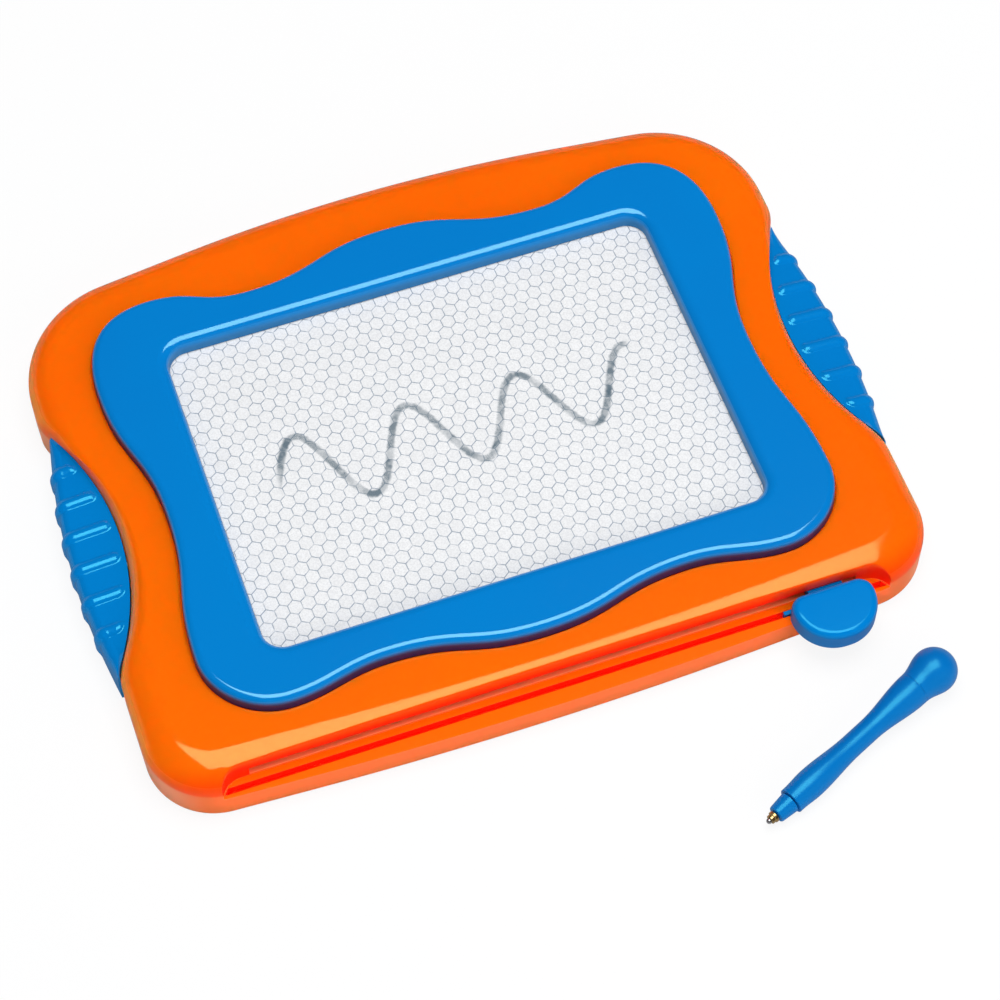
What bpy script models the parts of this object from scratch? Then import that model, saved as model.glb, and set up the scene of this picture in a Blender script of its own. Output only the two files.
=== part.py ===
"""Magnetic drawing board: an orange case with a wavy blue bezel over a honeycomb
drawing panel, ribbed side grips and a sliding eraser, with its pen lying beside it.

Metres, +Z up. X runs along the board, Y away from its front edge, and the origin is
the middle of the flat underside.
"""

import math

import bmesh
import bpy
from mathutils import Vector
from mathutils.geometry import interpolate_bezier

# Clearances and the one overrun that every cutter uses
SEAT_GAP = 0.0003
LAYER_GAP = 0.0001
SCREW_GAP = 0.0002
SLIDE_GAP = 0.0004
OVERRUN = 0.0100

# Driving sizes: the drawing window, and the margins of the case round it
WINDOW_HALF_X = 0.0755
WINDOW_HALF_Y = 0.0532
WINDOW_MIDDLE_Y = -0.0037
CASE_SIDE_MARGIN = 0.0410
CASE_FRONT_MARGIN = 0.0389
CASE_BACK_MARGIN = 0.0458
LAND_Z = 0.0183

WINDOW_FRONT_Y = WINDOW_MIDDLE_Y - WINDOW_HALF_Y
WINDOW_BACK_Y = WINDOW_MIDDLE_Y + WINDOW_HALF_Y

# Front cover: skirt outline, right half from the front middle to the back middle
CASE_HALF_WIDTH = WINDOW_HALF_X + CASE_SIDE_MARGIN
CASE_FRONT_APEX_Y = WINDOW_FRONT_Y - CASE_FRONT_MARGIN
CASE_FRONT_CORNER_SETBACK = 0.0065
CASE_FRONT_CORNER_Y = CASE_FRONT_APEX_Y + CASE_FRONT_CORNER_SETBACK
CASE_BACK_APEX_Y = WINDOW_BACK_Y + CASE_BACK_MARGIN
CASE_BACK_CORNER_SETBACK = 0.0138
CASE_BACK_CORNER_Y = CASE_BACK_APEX_Y - CASE_BACK_CORNER_SETBACK
WAIST_INSET = 0.0238
WAIST_X = CASE_HALF_WIDTH - WAIST_INSET
WAIST_Y = -0.0021
WAIST_END_SETBACK = 0.0096
WAIST_HALF_LENGTH = WINDOW_HALF_Y - WAIST_END_SETBACK
WAIST_FRONT_Y = WAIST_Y - WAIST_HALF_LENGTH
WAIST_BACK_Y = WAIST_Y + WAIST_HALF_LENGTH
FRONT_BOW_SHARE = 0.648
FRONT_CORNER_ARC_SHARE = 0.445
WAIST_SHOULDER_SHARE = 0.083
WAIST_ARC_SHARE = 0.879
BACK_CORNER_ARC_SHARE = 0.770
BACK_BOW_SHARE = 0.520

# Crease where the flat land of the cover turns down into its shoulder
CREASE_FRONT_APEX_INSET = 0.0114
CREASE_FRONT_APEX_Y = CASE_FRONT_APEX_Y + CREASE_FRONT_APEX_INSET
CREASE_FRONT_CORNER_INSET = 0.0109
CREASE_FRONT_CORNER_X = CASE_HALF_WIDTH - CREASE_FRONT_CORNER_INSET
CREASE_FRONT_CORNER_SETBACK = 0.0059
CREASE_FRONT_CORNER_Y = CREASE_FRONT_APEX_Y + CREASE_FRONT_CORNER_SETBACK
CREASE_BACK_SIDE_INSET = 0.0081
CREASE_BACK_X = CASE_HALF_WIDTH - CREASE_BACK_SIDE_INSET
CREASE_BACK_APEX_INSET = 0.0070
CREASE_BACK_APEX_Y = CASE_BACK_APEX_Y - CREASE_BACK_APEX_INSET
CREASE_BACK_CORNER_SETBACK = 0.0173
CREASE_BACK_CORNER_Y = CREASE_BACK_APEX_Y - CREASE_BACK_CORNER_SETBACK
CREASE_WAIST_INSET = 0.0195
CREASE_WAIST_X = CASE_HALF_WIDTH - CREASE_WAIST_INSET
CREASE_WAIST_SHIFT = 0.0085
CREASE_WAIST_Y = WAIST_Y - CREASE_WAIST_SHIFT
CREASE_GRIP_INSET = 0.0102
CREASE_GRIP_FRONT_X = CASE_HALF_WIDTH - CREASE_GRIP_INSET
CREASE_GRIP_FRONT_SHIFT = 0.0003
CREASE_GRIP_FRONT_Y = WAIST_FRONT_Y - CREASE_GRIP_FRONT_SHIFT
CREASE_GRIP_BACK_SHIFT = 0.0063
CREASE_GRIP_BACK_Y = WAIST_BACK_Y - CREASE_GRIP_BACK_SHIFT
CREASE_FRONT_BOW_SHARE = 0.705
CREASE_FRONT_CORNER_SHARE = 0.288
CREASE_GRIP_FRONT_SHARE = 0.232
CREASE_WAIST_SHARE = 0.638
CREASE_GRIP_BACK_SHARE = 0.183
CREASE_BACK_CORNER_SHARE = 0.576
CREASE_BACK_BOW_SHARE = 0.700

# Front cover: heights and walls
SKIRT_FOOT_Z = 0.0003
SHOULDER_DROP = 0.0078
SKIRT_TOP_Z = LAND_Z - SHOULDER_DROP
COVER_WALL = 0.0022
COVER_ROOF = 0.0027
COVER_ROOF_Z = LAND_Z - COVER_ROOF
CAVITY_SHOULDER_DROP = 0.0020
CAVITY_SHOULDER_Z = SKIRT_TOP_Z - CAVITY_SHOULDER_DROP
SHOULDER_STEPS = 5

# Drawing window, panel and the recess that holds the panel
WINDOW_CORNER_RADIUS = 0.0065
WINDOW_DRAFT = 0.0003
WINDOW_LIP_RADIUS = 0.0026
WINDOW_DEPTH = 0.0053
PANEL_MARGIN = 0.0050
PANEL_CORNER_RADIUS = 0.0040
PANEL_SHELF = 0.0035
PANEL_DROP = 0.0008
PANEL_TOP_Z = LAND_Z - PANEL_DROP
FRONT_SHEET_THICKNESS = 0.0006
CORE_THICKNESS = 0.0017
BACK_SHEET_THICKNESS = 0.0004
PANEL_THICKNESS = FRONT_SHEET_THICKNESS + CORE_THICKNESS + BACK_SHEET_THICKNESS
PANEL_BOTTOM_Z = PANEL_TOP_Z - PANEL_THICKNESS - LAYER_GAP * 2
PANEL_SHELF_Z = PANEL_BOTTOM_Z - LAYER_GAP
PANEL_TRAY_WALL = 0.0012
PANEL_TRAY_BOTTOM_Z = PANEL_SHELF_Z - PANEL_TRAY_WALL

# Bezel: highest and lowest points of its wavy outline, right half
BEZEL_TOP_Z = PANEL_TOP_Z + WINDOW_DEPTH
BEZEL_SEAT_DEPTH = 0.0010
BEZEL_SEAT_SIDE_GAP = 0.0005
BEZEL_WALL = 0.0020
BEZEL_ROOF = 0.0020
BEZEL_EDGE_RADIUS = 0.0020
BEZEL_DRAFT = 0.0003
BEZEL_FRONT_BUMP_BORDER = 0.0194
BEZEL_FRONT_BUMP_Y = WINDOW_FRONT_Y - BEZEL_FRONT_BUMP_BORDER
FRONT_DIP_SHARE = 0.596
BEZEL_FRONT_DIP_X = WINDOW_HALF_X * FRONT_DIP_SHARE
BEZEL_FRONT_DIP_BORDER = 0.0127
BEZEL_FRONT_DIP_Y = WINDOW_FRONT_Y - BEZEL_FRONT_DIP_BORDER
BEZEL_FRONT_LOBE_INSET = 0.0020
BEZEL_FRONT_LOBE_X = WINDOW_HALF_X - BEZEL_FRONT_LOBE_INSET
BEZEL_FRONT_LOBE_BORDER = 0.0168
BEZEL_FRONT_LOBE_Y = WINDOW_FRONT_Y - BEZEL_FRONT_LOBE_BORDER
BEZEL_FRONT_SIDE_BORDER = 0.0197
BEZEL_FRONT_SIDE_X = WINDOW_HALF_X + BEZEL_FRONT_SIDE_BORDER
BEZEL_FRONT_SIDE_SETBACK = 0.0046
BEZEL_FRONT_SIDE_Y = WINDOW_FRONT_Y + BEZEL_FRONT_SIDE_SETBACK
BEZEL_WAIST_BORDER = 0.0142
BEZEL_WAIST_X = WINDOW_HALF_X + BEZEL_WAIST_BORDER
BEZEL_WAIST_SHIFT = 0.0034
BEZEL_WAIST_Y = WAIST_Y - BEZEL_WAIST_SHIFT
BEZEL_BACK_SIDE_BORDER = 0.0220
BEZEL_BACK_SIDE_X = WINDOW_HALF_X + BEZEL_BACK_SIDE_BORDER
BEZEL_BACK_SIDE_SETBACK = 0.0072
BEZEL_BACK_SIDE_Y = WINDOW_BACK_Y - BEZEL_BACK_SIDE_SETBACK
BEZEL_BACK_LOBE_INSET = 0.0007
BEZEL_BACK_LOBE_X = WINDOW_HALF_X - BEZEL_BACK_LOBE_INSET
BEZEL_BACK_LOBE_BORDER = 0.0190
BEZEL_BACK_LOBE_Y = WINDOW_BACK_Y + BEZEL_BACK_LOBE_BORDER
BACK_DIP_SHARE = 0.604
BEZEL_BACK_DIP_X = WINDOW_HALF_X * BACK_DIP_SHARE
BEZEL_BACK_DIP_BORDER = 0.0125
BEZEL_BACK_DIP_Y = WINDOW_BACK_Y + BEZEL_BACK_DIP_BORDER
BEZEL_BACK_BUMP_BORDER = 0.0205
BEZEL_BACK_BUMP_Y = WINDOW_BACK_Y + BEZEL_BACK_BUMP_BORDER
BEZEL_SPAN_STEPS = 7
BEZEL_EDGE_STEPS = 3
WAVE_SHARE = 0.49
FRONT_LOBE_SHARE = 0.40
FRONT_CORNER_SHARE = 0.54
BACK_CORNER_SHARE = 0.65

# Screws and the bosses they run into
SCREW_SHANK_RADIUS = 0.0013
SCREW_HEAD_RADIUS = 0.0027
SCREW_HEAD_HEIGHT = 0.0015
SCREW_DRIVE_WIDTH = 0.0008
SCREW_DRIVE_DEPTH = 0.0007
SCREW_SIDES = 12
HEAD_CROWN_SHARE = 0.75
CROWN_RISE_SHARE = 0.40
SCREW_POINT_SHARE = 0.30
DRIVE_SHARE = 0.55
BOSS_RADIUS = 0.0034
BOSS_HOLE_DEPTH = 0.0085
ROUND_SIDES = 16
CASE_SCREW_LENGTH = 0.0090
CASE_SCREW_HEAD_Z = 0.0006
CASE_CORNER_SCREW_INSET = 0.0155
CASE_CORNER_SCREW_X = CASE_HALF_WIDTH - CASE_CORNER_SCREW_INSET
CASE_FRONT_SCREW_SETBACK = 0.0258
CASE_FRONT_SCREW_Y = CASE_FRONT_APEX_Y + CASE_FRONT_SCREW_SETBACK
CASE_BACK_SCREW_SETBACK = 0.0322
CASE_BACK_SCREW_Y = CASE_BACK_APEX_Y - CASE_BACK_SCREW_SETBACK
CASE_WAIST_SCREW_INSET = 0.0205
CASE_WAIST_SCREW_X = CASE_HALF_WIDTH - CASE_WAIST_SCREW_INSET
CASE_WAIST_SCREW_SHIFT = 0.0009
CASE_WAIST_SCREW_Y = WAIST_Y - CASE_WAIST_SCREW_SHIFT
CASE_REAR_SCREW_INSET = 0.0335
CASE_REAR_SCREW_X = WINDOW_HALF_X - CASE_REAR_SCREW_INSET
CASE_REAR_SCREW_SETBACK = 0.0172
CASE_REAR_SCREW_Y = CASE_BACK_APEX_Y - CASE_REAR_SCREW_SETBACK
BEZEL_SCREW_LENGTH = 0.0050
BEZEL_BOSS_RADIUS = 0.0028
BEZEL_SCREW_BORDER = 0.0015
BEZEL_SCREW_X = WINDOW_HALF_X + BEZEL_SCREW_BORDER
BEZEL_FRONT_SCREW_BORDER = 0.00935
BEZEL_FRONT_SCREW_Y = WINDOW_FRONT_Y - BEZEL_FRONT_SCREW_BORDER
BEZEL_BACK_SCREW_BORDER = 0.01015
BEZEL_BACK_SCREW_Y = WINDOW_BACK_Y + BEZEL_BACK_SCREW_BORDER

# Trough along the front edge, its guide groove and the slot behind it
TROUGH_DEPTH = 0.0093
TROUGH_FLOOR_Z = LAND_Z - TROUGH_DEPTH
TROUGH_WIDTH = 0.0104
TROUGH_BACK_Y = CASE_FRONT_APEX_Y + TROUGH_WIDTH
TROUGH_END_INSET = 0.0170
TROUGH_HALF_LENGTH = CASE_HALF_WIDTH - TROUGH_END_INSET
TROUGH_END_RADIUS = 0.0065
TROUGH_CASING_WALL = 0.0022
TROUGH_CASING_DROP = 0.0039
TROUGH_CASING_Z = TROUGH_FLOOR_Z - TROUGH_CASING_DROP
TROUGH_CASING_HALF_LENGTH = TROUGH_HALF_LENGTH + TROUGH_CASING_WALL
GROOVE_SETBACK = 0.0029
GROOVE_MIDDLE_Y = TROUGH_BACK_Y - GROOVE_SETBACK
GROOVE_WIDTH = 0.0020
GROOVE_DEPTH = 0.0026
GROOVE_END_GAP = 0.0002
SLOT_END_INSET = 0.0091
SLOT_HALF_LENGTH = TROUGH_HALF_LENGTH - SLOT_END_INSET
SLOT_HEIGHT = 0.0036
SLOT_SILL = 0.0004

# Eraser slider: knob, arm, guide tongue and the bar that carries the magnet
ARM_HALF_WIDTH = 0.0052
KNOB_END_MARGIN = 0.0047
KNOB_MIDDLE_X = SLOT_HALF_LENGTH - ARM_HALF_WIDTH - KNOB_END_MARGIN
KNOB_HALF_WIDTH = 0.0124
KNOB_DEPTH = 0.0167
KNOB_SETBACK = 0.0018
KNOB_BACK_Y = TROUGH_BACK_Y - KNOB_SETBACK
KNOB_FRONT_Y = KNOB_BACK_Y - KNOB_DEPTH
KNOB_BACK_CORNER_RADIUS = 0.0045
KNOB_FRONT_FLAT = 0.0003
KNOB_FRONT_ROOM = min(KNOB_HALF_WIDTH, KNOB_DEPTH - KNOB_BACK_CORNER_RADIUS)
KNOB_FRONT_CORNER_RADIUS = KNOB_FRONT_ROOM - KNOB_FRONT_FLAT
KNOB_HEIGHT = 0.0073
KNOB_TOP_Z = TROUGH_FLOOR_Z + KNOB_HEIGHT
KNOB_EDGE_RADIUS = 0.0020
KNOB_EDGE_STEPS = 4
ARM_THICKNESS = 0.0030
ARM_BOTTOM_Z = TROUGH_FLOOR_Z + SLOT_SILL + SEAT_GAP
ARM_TOP_Z = ARM_BOTTOM_Z + ARM_THICKNESS
ARM_SKIN = 0.0004
TONGUE_HALF_LENGTH = 0.0133
TONGUE_DEPTH = 0.0021
TONGUE_RISE = 0.0005
BAR_HALF_WIDTH = 0.0050
BAR_THICKNESS = 0.0048
BAR_FRONT_OVERHANG = 0.00315
BAR_FRONT_Y = WINDOW_FRONT_Y - BAR_FRONT_OVERHANG
BAR_BACK_OVERHANG = 0.00265
BAR_BACK_Y = WINDOW_BACK_Y + BAR_BACK_OVERHANG
BAR_ROOF_GAP = 0.0006
BAR_TOP_Z = PANEL_TRAY_BOTTOM_Z - BAR_ROOF_GAP
BAR_BOTTOM_Z = BAR_TOP_Z - BAR_THICKNESS
BAR_CORNER_RADIUS = 0.0015
LAP_LENGTH = 0.0125
LAP_FRONT_Y = BAR_FRONT_Y - LAP_LENGTH
LAP_THICKNESS = 0.0024
LAP_OVERLAP = 0.0040
MAGNET_HALF_WIDTH = 0.0030
MAGNET_THICKNESS = 0.0015
MAGNET_END_MARGIN = 0.0020
ERASER_SCREW_SETBACK = 0.0078
ERASER_SCREW_Y = BAR_FRONT_Y - ERASER_SCREW_SETBACK
ERASER_SCREW_LENGTH = 0.0042

# Rear cover: plate, rim, screw pads and the rails under the slider
PLATE_THICKNESS = 0.0020
RIM_TOP_Z = 0.0038
RIM_WALL = 0.0014
PAD_RADIUS = 0.0048
PAD_TOP_Z = 0.0040
RAIL_WIDTH = 0.0016
RAIL_END_MARGIN = 0.0015
RAIL_HALF_LENGTH = SLOT_HALF_LENGTH + RAIL_END_MARGIN
RAIL_BACK_INSET = 0.00585
RAIL_BACK_Y = WINDOW_BACK_Y - RAIL_BACK_INSET
RAIL_FRONT_INSET = 0.00585
RAIL_FRONT_Y = WINDOW_FRONT_Y + RAIL_FRONT_INSET
ARM_RAIL_SETBACK = 0.00395
ARM_RAIL_Y = TROUGH_BACK_Y + ARM_RAIL_SETBACK

# Side grips: lens outline, rounded outer side and ribs
GRIP_BULGE = 0.00355
GRIP_OUTER_X = CASE_HALF_WIDTH + GRIP_BULGE
GRIP_BULGE_SHIFT = 0.0074
GRIP_OUTER_Y = WAIST_Y - GRIP_BULGE_SHIFT
GRIP_END_SETBACK = 0.0040
GRIP_TOP_DROP = 0.0061
GRIP_TOP_Z = LAND_Z - GRIP_TOP_DROP
GRIP_TOP_RISE = 0.0010
GRIP_INNER_TOP_Z = GRIP_TOP_Z + GRIP_TOP_RISE
GRIP_SIDE_RADIUS = 0.0036
GRIP_SIDE_HEIGHT = 0.0038
GRIP_SIDE_STEPS = 5
GRIP_FRONT_SHIFT = 0.0003
GRIP_FRONT_Y = WAIST_FRONT_Y - GRIP_FRONT_SHIFT
GRIP_BACK_SHIFT = 0.0045
GRIP_BACK_Y = WAIST_BACK_Y - GRIP_BACK_SHIFT
GRIP_ROUND_SHARE = 0.70
GRIP_TIP_WIDTH = 0.0005
GRIP_TIP_SHARES = (0.35, 0.70)
FOOT_ROUND_SHARE = 0.35
RIB_COUNT = 6
RIBBED_SHARE = 0.669
RIB_PITCH = (GRIP_BACK_Y - GRIP_FRONT_Y) * RIBBED_SHARE / (RIB_COUNT - 1)
RIB_MIDDLE_SHIFT = 0.0008
RIB_MIDDLE_Y = WAIST_Y - RIB_MIDDLE_SHIFT
RIB_HALF_WIDTH = 0.0017
RIB_HEIGHT = 0.0009
RIB_MARGIN = 0.0011
RIB_MARGIN_SHARE = 0.30
RIB_SHARES = (-1, -0.75, -0.3, 0.3, 0.75, 1)
TAB_HALF_WIDTH = 0.0045
TAB_OFFSET_Y = 0.0180
TAB_BOTTOM_Z = RIM_TOP_Z + SEAT_GAP
TAB_THICKNESS = 0.0020
TAB_INNER_INSET = 0.0170
TAB_INNER_X = CASE_HALF_WIDTH - TAB_INNER_INSET
TAB_ROOT_INSET = 0.0065
TAB_ROOT_X = CASE_HALF_WIDTH - TAB_ROOT_INSET

# Pen: distances from its tip along the axis, and radii
PEN_TIP_X = 0.03955
PEN_TIP_Y = -0.14445
PEN_HEADING = math.radians(23.35)
PEN_BULB_RADIUS = 0.0067
PEN_BULB_AT = 0.0667
PEN_BULB_TIP_RADIUS = 0.0004
PEN_BELLY_RADIUS = 0.0043
PEN_BELLY_AT = 0.0171
PEN_WAIST_RADIUS = 0.00335
PEN_WAIST_FRONT_AT = 0.0335
PEN_WAIST_BACK_AT = 0.0400
PEN_SEAM_RADIUS = 0.00505
PEN_SEAM_AT = 0.0585
PEN_BARREL_FRONT_AT = 0.0092
PEN_BARREL_FRONT_RADIUS = 0.0039
PEN_STEP_LENGTH = 0.0010
PEN_NOSE_BACK_RADIUS = 0.0032
PEN_NOSE_FRONT_AT = 0.0034
PEN_NOSE_FRONT_RADIUS = 0.0026
PEN_NOSE_CHAMFER = 0.0004
PEN_COLLAR_FRONT_AT = 0.0012
PEN_COLLAR_STEP_AT = 0.0022
PEN_COLLAR_RADIUS = 0.0017
PEN_COLLAR_TIP_RADIUS = 0.00135
PEN_BALL_RADIUS = 0.00085
PEN_SPIGOT_RADIUS = 0.0022
PEN_SPIGOT_DEPTH = 0.0055
PEN_BULB_SPIGOT_RADIUS = 0.0030
PEN_MAGNET_RADIUS = 0.0015
PEN_MAGNET_FRONT_AT = 0.0150
PEN_MAGNET_LENGTH = 0.0080
PEN_SIDES = 20
PEN_TIP_SIDES = 14
BALL_STEPS = 6
BULB_STEPS = 6

SHARP_ANGLE = math.radians(35)


def clear_scene():
    for obj in list(bpy.data.objects):
        bpy.data.objects.remove(obj, do_unlink=True)


def finish(name, colour, roughness, metallic=0):
    """A material named after its piece."""
    material = bpy.data.materials.new(name)
    material.use_nodes = True
    shader = material.node_tree.nodes["Principled BSDF"]
    shader.inputs["Base Color"].default_value = (*colour, 1)
    shader.inputs["Roughness"].default_value = roughness
    shader.inputs["Metallic"].default_value = metallic
    return material


def orange_plastic(name):
    return finish(name, (1.0, 0.15, 0.004), 0.30)


def blue_plastic(name):
    return finish(name, (0.0, 0.21, 0.62), 0.28)


def screen_plastic(name):
    return finish(name, (0.78, 0.79, 0.82), 0.35)


def steel(name):
    return finish(name, (0.60, 0.61, 0.62), 0.30, 1)


def brass(name):
    return finish(name, (0.72, 0.48, 0.18), 0.28, 1)


def magnet(name):
    return finish(name, (0.03, 0.03, 0.035), 0.60)


# Outlines


def fillet(before, corner, after, radius, steps):
    """Points of the arc that rounds one corner of an outline."""
    corner = Vector(corner)
    to_before = (Vector(before) - corner).normalized()
    to_after = (Vector(after) - corner).normalized()
    half_angle = to_before.angle(to_after) / 2
    reach = radius / math.tan(half_angle)
    centre = corner + (to_before + to_after).normalized() * (radius / math.sin(half_angle))
    start = corner + to_before * reach - centre
    end = corner + to_after * reach - centre
    first = math.atan2(start.y, start.x)
    sweep = math.remainder(math.atan2(end.y, end.x) - first, math.tau)
    angles = [first + sweep * i / steps for i in range(steps + 1)]
    return [centre + Vector((math.cos(a), math.sin(a))) * radius for a in angles]


def eased_outline(corners):
    """Closed anticlockwise outline through corners (x, y, share, steps), where each
    is rounded by the arc that takes up a share of its shorter edge."""
    points = []
    for i, (x, y, share, steps) in enumerate(corners):
        before = Vector(corners[i - 1][:2])
        after = Vector(corners[(i + 1) % len(corners)][:2])
        edges = [before - Vector((x, y)), after - Vector((x, y))]
        reach = share * min(edge.length for edge in edges)
        radius = reach * math.tan(edges[0].angle(edges[1]) / 2)
        points += fillet(before, (x, y), after, radius, steps)
    return points


def rounded_outline(corners):
    """Closed anticlockwise outline through rounded corners (x, y, radius, steps)."""
    points = []
    for i, (x, y, radius, steps) in enumerate(corners):
        before = corners[i - 1][:2]
        after = corners[(i + 1) % len(corners)][:2]
        points += fillet(before, (x, y), after, radius, steps)
    return points


def both_halves(right):
    """Corners of the right half, front to back, followed by their mirror images."""
    return right + [(-x, *rest) for x, *rest in reversed(right) if x > 0]


def rounded_box(half_x, half_y, radius, middle=(0, 0), steps=4):
    x, y = middle
    return rounded_outline(
        [
            (x - half_x, y - half_y, radius, steps),
            (x + half_x, y - half_y, radius, steps),
            (x + half_x, y + half_y, radius, steps),
            (x - half_x, y + half_y, radius, steps),
        ]
    )


def box_between(low, high):
    """Rectangle outline from its low corner to its high corner."""
    return [
        Vector(low),
        Vector((high[0], low[1])),
        Vector(high),
        Vector((low[0], high[1])),
    ]


def circle(radius, middle=(0, 0), sides=ROUND_SIDES):
    x, y = middle
    angles = [math.tau * i / sides for i in range(sides)]
    return [Vector((x + radius * math.cos(a), y + radius * math.sin(a))) for a in angles]


def offset(outline, distance):
    """The outline moved outwards by a distance, or inwards by a negative one."""
    moved = []
    for i, point in enumerate(outline):
        before = (point - outline[i - 1]).normalized()
        after = (outline[(i + 1) % len(outline)] - point).normalized()
        along = (before + after).normalized()
        moved.append(point + Vector((along.y, -along.x)) * (distance / before.dot(along)))
    return moved


def edge_x(outline, y):
    """Where the right side of an outline crosses a line of constant y."""
    for low, high in zip(outline, outline[1:]):
        if low.x > 0 and low.y <= y <= high.y:
            return low.x + (high.x - low.x) * (y - low.y) / (high.y - low.y)
    return 0


def case_outline():
    return eased_outline(
        both_halves(
            [
                (0, CASE_FRONT_APEX_Y, FRONT_BOW_SHARE, 6),
                (CASE_HALF_WIDTH, CASE_FRONT_CORNER_Y, FRONT_CORNER_ARC_SHARE, 8),
                (CASE_HALF_WIDTH, WAIST_FRONT_Y, WAIST_SHOULDER_SHARE, 3),
                (WAIST_X, WAIST_Y, WAIST_ARC_SHARE, 8),
                (CASE_HALF_WIDTH, WAIST_BACK_Y, WAIST_SHOULDER_SHARE, 3),
                (CASE_HALF_WIDTH, CASE_BACK_CORNER_Y, BACK_CORNER_ARC_SHARE, 9),
                (0, CASE_BACK_APEX_Y, BACK_BOW_SHARE, 8),
            ]
        )
    )


def crease_outline():
    """Edge of the flat land, corner for corner with the case outline."""
    return eased_outline(
        both_halves(
            [
                (0, CREASE_FRONT_APEX_Y, CREASE_FRONT_BOW_SHARE, 6),
                (CREASE_FRONT_CORNER_X, CREASE_FRONT_CORNER_Y, CREASE_FRONT_CORNER_SHARE, 8),
                (CREASE_GRIP_FRONT_X, CREASE_GRIP_FRONT_Y, CREASE_GRIP_FRONT_SHARE, 3),
                (CREASE_WAIST_X, CREASE_WAIST_Y, CREASE_WAIST_SHARE, 8),
                (CREASE_BACK_X, CREASE_GRIP_BACK_Y, CREASE_GRIP_BACK_SHARE, 3),
                (CREASE_BACK_X, CREASE_BACK_CORNER_Y, CREASE_BACK_CORNER_SHARE, 9),
                (0, CREASE_BACK_APEX_Y, CREASE_BACK_BOW_SHARE, 8),
            ]
        )
    )


def wave_outline(turns, steps):
    """Closed smooth outline through turning points (x, y, heading, share), right half
    from front to back. The outline runs along the heading at each of them, and the
    share sets how far that direction is held over the next span."""
    held = [(Vector((x, y)), Vector(heading), share) for x, y, heading, share in turns]
    points = []
    for (start, start_way, share), (end, end_way, _) in zip(held, held[1:]):
        lead = start + start_way * (share * abs((end - start).dot(start_way)))
        trail = end - end_way * (share * abs((end - start).dot(end_way)))
        points += interpolate_bezier(start, lead, trail, end, steps + 1)[:-1]
    back = [Vector((-point.x, point.y)) for point in reversed(points[1:])]
    return points + [held[-1][0]] + back


def bezel_outline():
    right, away, left = (1, 0), (0, 1), (-1, 0)
    return wave_outline(
        [
            (0, BEZEL_FRONT_BUMP_Y, right, WAVE_SHARE),
            (BEZEL_FRONT_DIP_X, BEZEL_FRONT_DIP_Y, right, FRONT_LOBE_SHARE),
            (BEZEL_FRONT_LOBE_X, BEZEL_FRONT_LOBE_Y, right, FRONT_CORNER_SHARE),
            (BEZEL_FRONT_SIDE_X, BEZEL_FRONT_SIDE_Y, away, WAVE_SHARE),
            (BEZEL_WAIST_X, BEZEL_WAIST_Y, away, WAVE_SHARE),
            (BEZEL_BACK_SIDE_X, BEZEL_BACK_SIDE_Y, away, BACK_CORNER_SHARE),
            (BEZEL_BACK_LOBE_X, BEZEL_BACK_LOBE_Y, left, WAVE_SHARE),
            (BEZEL_BACK_DIP_X, BEZEL_BACK_DIP_Y, left, WAVE_SHARE),
            (0, BEZEL_BACK_BUMP_Y, left, WAVE_SHARE),
        ],
        BEZEL_SPAN_STEPS,
    )


def window_outline(outwards):
    return rounded_box(
        WINDOW_HALF_X + outwards,
        WINDOW_HALF_Y + outwards,
        WINDOW_CORNER_RADIUS + outwards,
        (0, WINDOW_MIDDLE_Y),
        6,
    )


def panel_outline(outwards):
    return rounded_box(
        WINDOW_HALF_X + PANEL_MARGIN + outwards,
        WINDOW_HALF_Y + PANEL_MARGIN + outwards,
        PANEL_CORNER_RADIUS,
        (0, WINDOW_MIDDLE_Y),
    )


# Solids


def at_height(outline, z):
    return [Vector((point.x, point.y, z)) for point in outline]


def loft(name, rings, material=None):
    """A closed solid through rings of equally many points, capped at both ends."""
    mesh = bpy.data.meshes.new(name)
    bm = bmesh.new()
    rows = [[bm.verts.new(point) for point in ring] for ring in rings]
    for lower, upper in zip(rows, rows[1:]):
        for i, point in enumerate(lower):
            bm.faces.new((lower[i - 1], point, upper[i], upper[i - 1]))
    bm.faces.new(rows[0])
    bm.faces.new(rows[-1])
    bmesh.ops.recalc_face_normals(bm, faces=bm.faces)
    bm.to_mesh(mesh)
    bm.free()
    obj = bpy.data.objects.new(name, mesh)
    bpy.context.scene.collection.objects.link(obj)
    if material:
        mesh.materials.append(material)
    return obj


def prism(name, outline, bottom, top, material=None):
    return loft(name, [at_height(outline, bottom), at_height(outline, top)], material)


def block(name, low, high, material=None):
    """A box from its low corner to its high corner."""
    return prism(name, box_between(low[:2], high[:2]), low[2], high[2], material)


def quarter_round(steps):
    """Shares run sideways and up along a quarter turn, from upright to level."""
    angles = [math.pi / 2 * i / steps for i in range(steps + 1)]
    return [(1 - math.cos(angle), math.sin(angle)) for angle in angles]


def combine(obj, others, operation):
    """Joins or cuts an object with others, which stay in the scene as hidden helpers."""
    for other in others:
        other.hide_render = True
        other.display_type = "WIRE"
        modifier = obj.modifiers.new(other.name, "BOOLEAN")
        modifier.operation = operation
        modifier.solver = "EXACT"
        modifier.object = other
    return obj


def cut(obj, *others):
    return combine(obj, others, "DIFFERENCE")


def join(obj, *others):
    return combine(obj, others, "UNION")


def smoothed(obj):
    """Shades an object smooth except across its sharp edges."""
    obj.data.shade_smooth()
    obj.data.set_sharp_from_angle(angle=SHARP_ANGLE)
    return obj


def place(name, location, rotation=(0, 0, 0)):
    empty = bpy.data.objects.new(name, None)
    empty.location = location
    empty.rotation_euler = rotation
    bpy.context.scene.collection.objects.link(empty)
    return empty


def carry(place_empty, piece):
    """Moves a piece to a place, together with the helpers that shape it."""
    piece.parent = place_empty
    for modifier in piece.modifiers:
        carry(place_empty, modifier.object)


# Case


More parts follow.
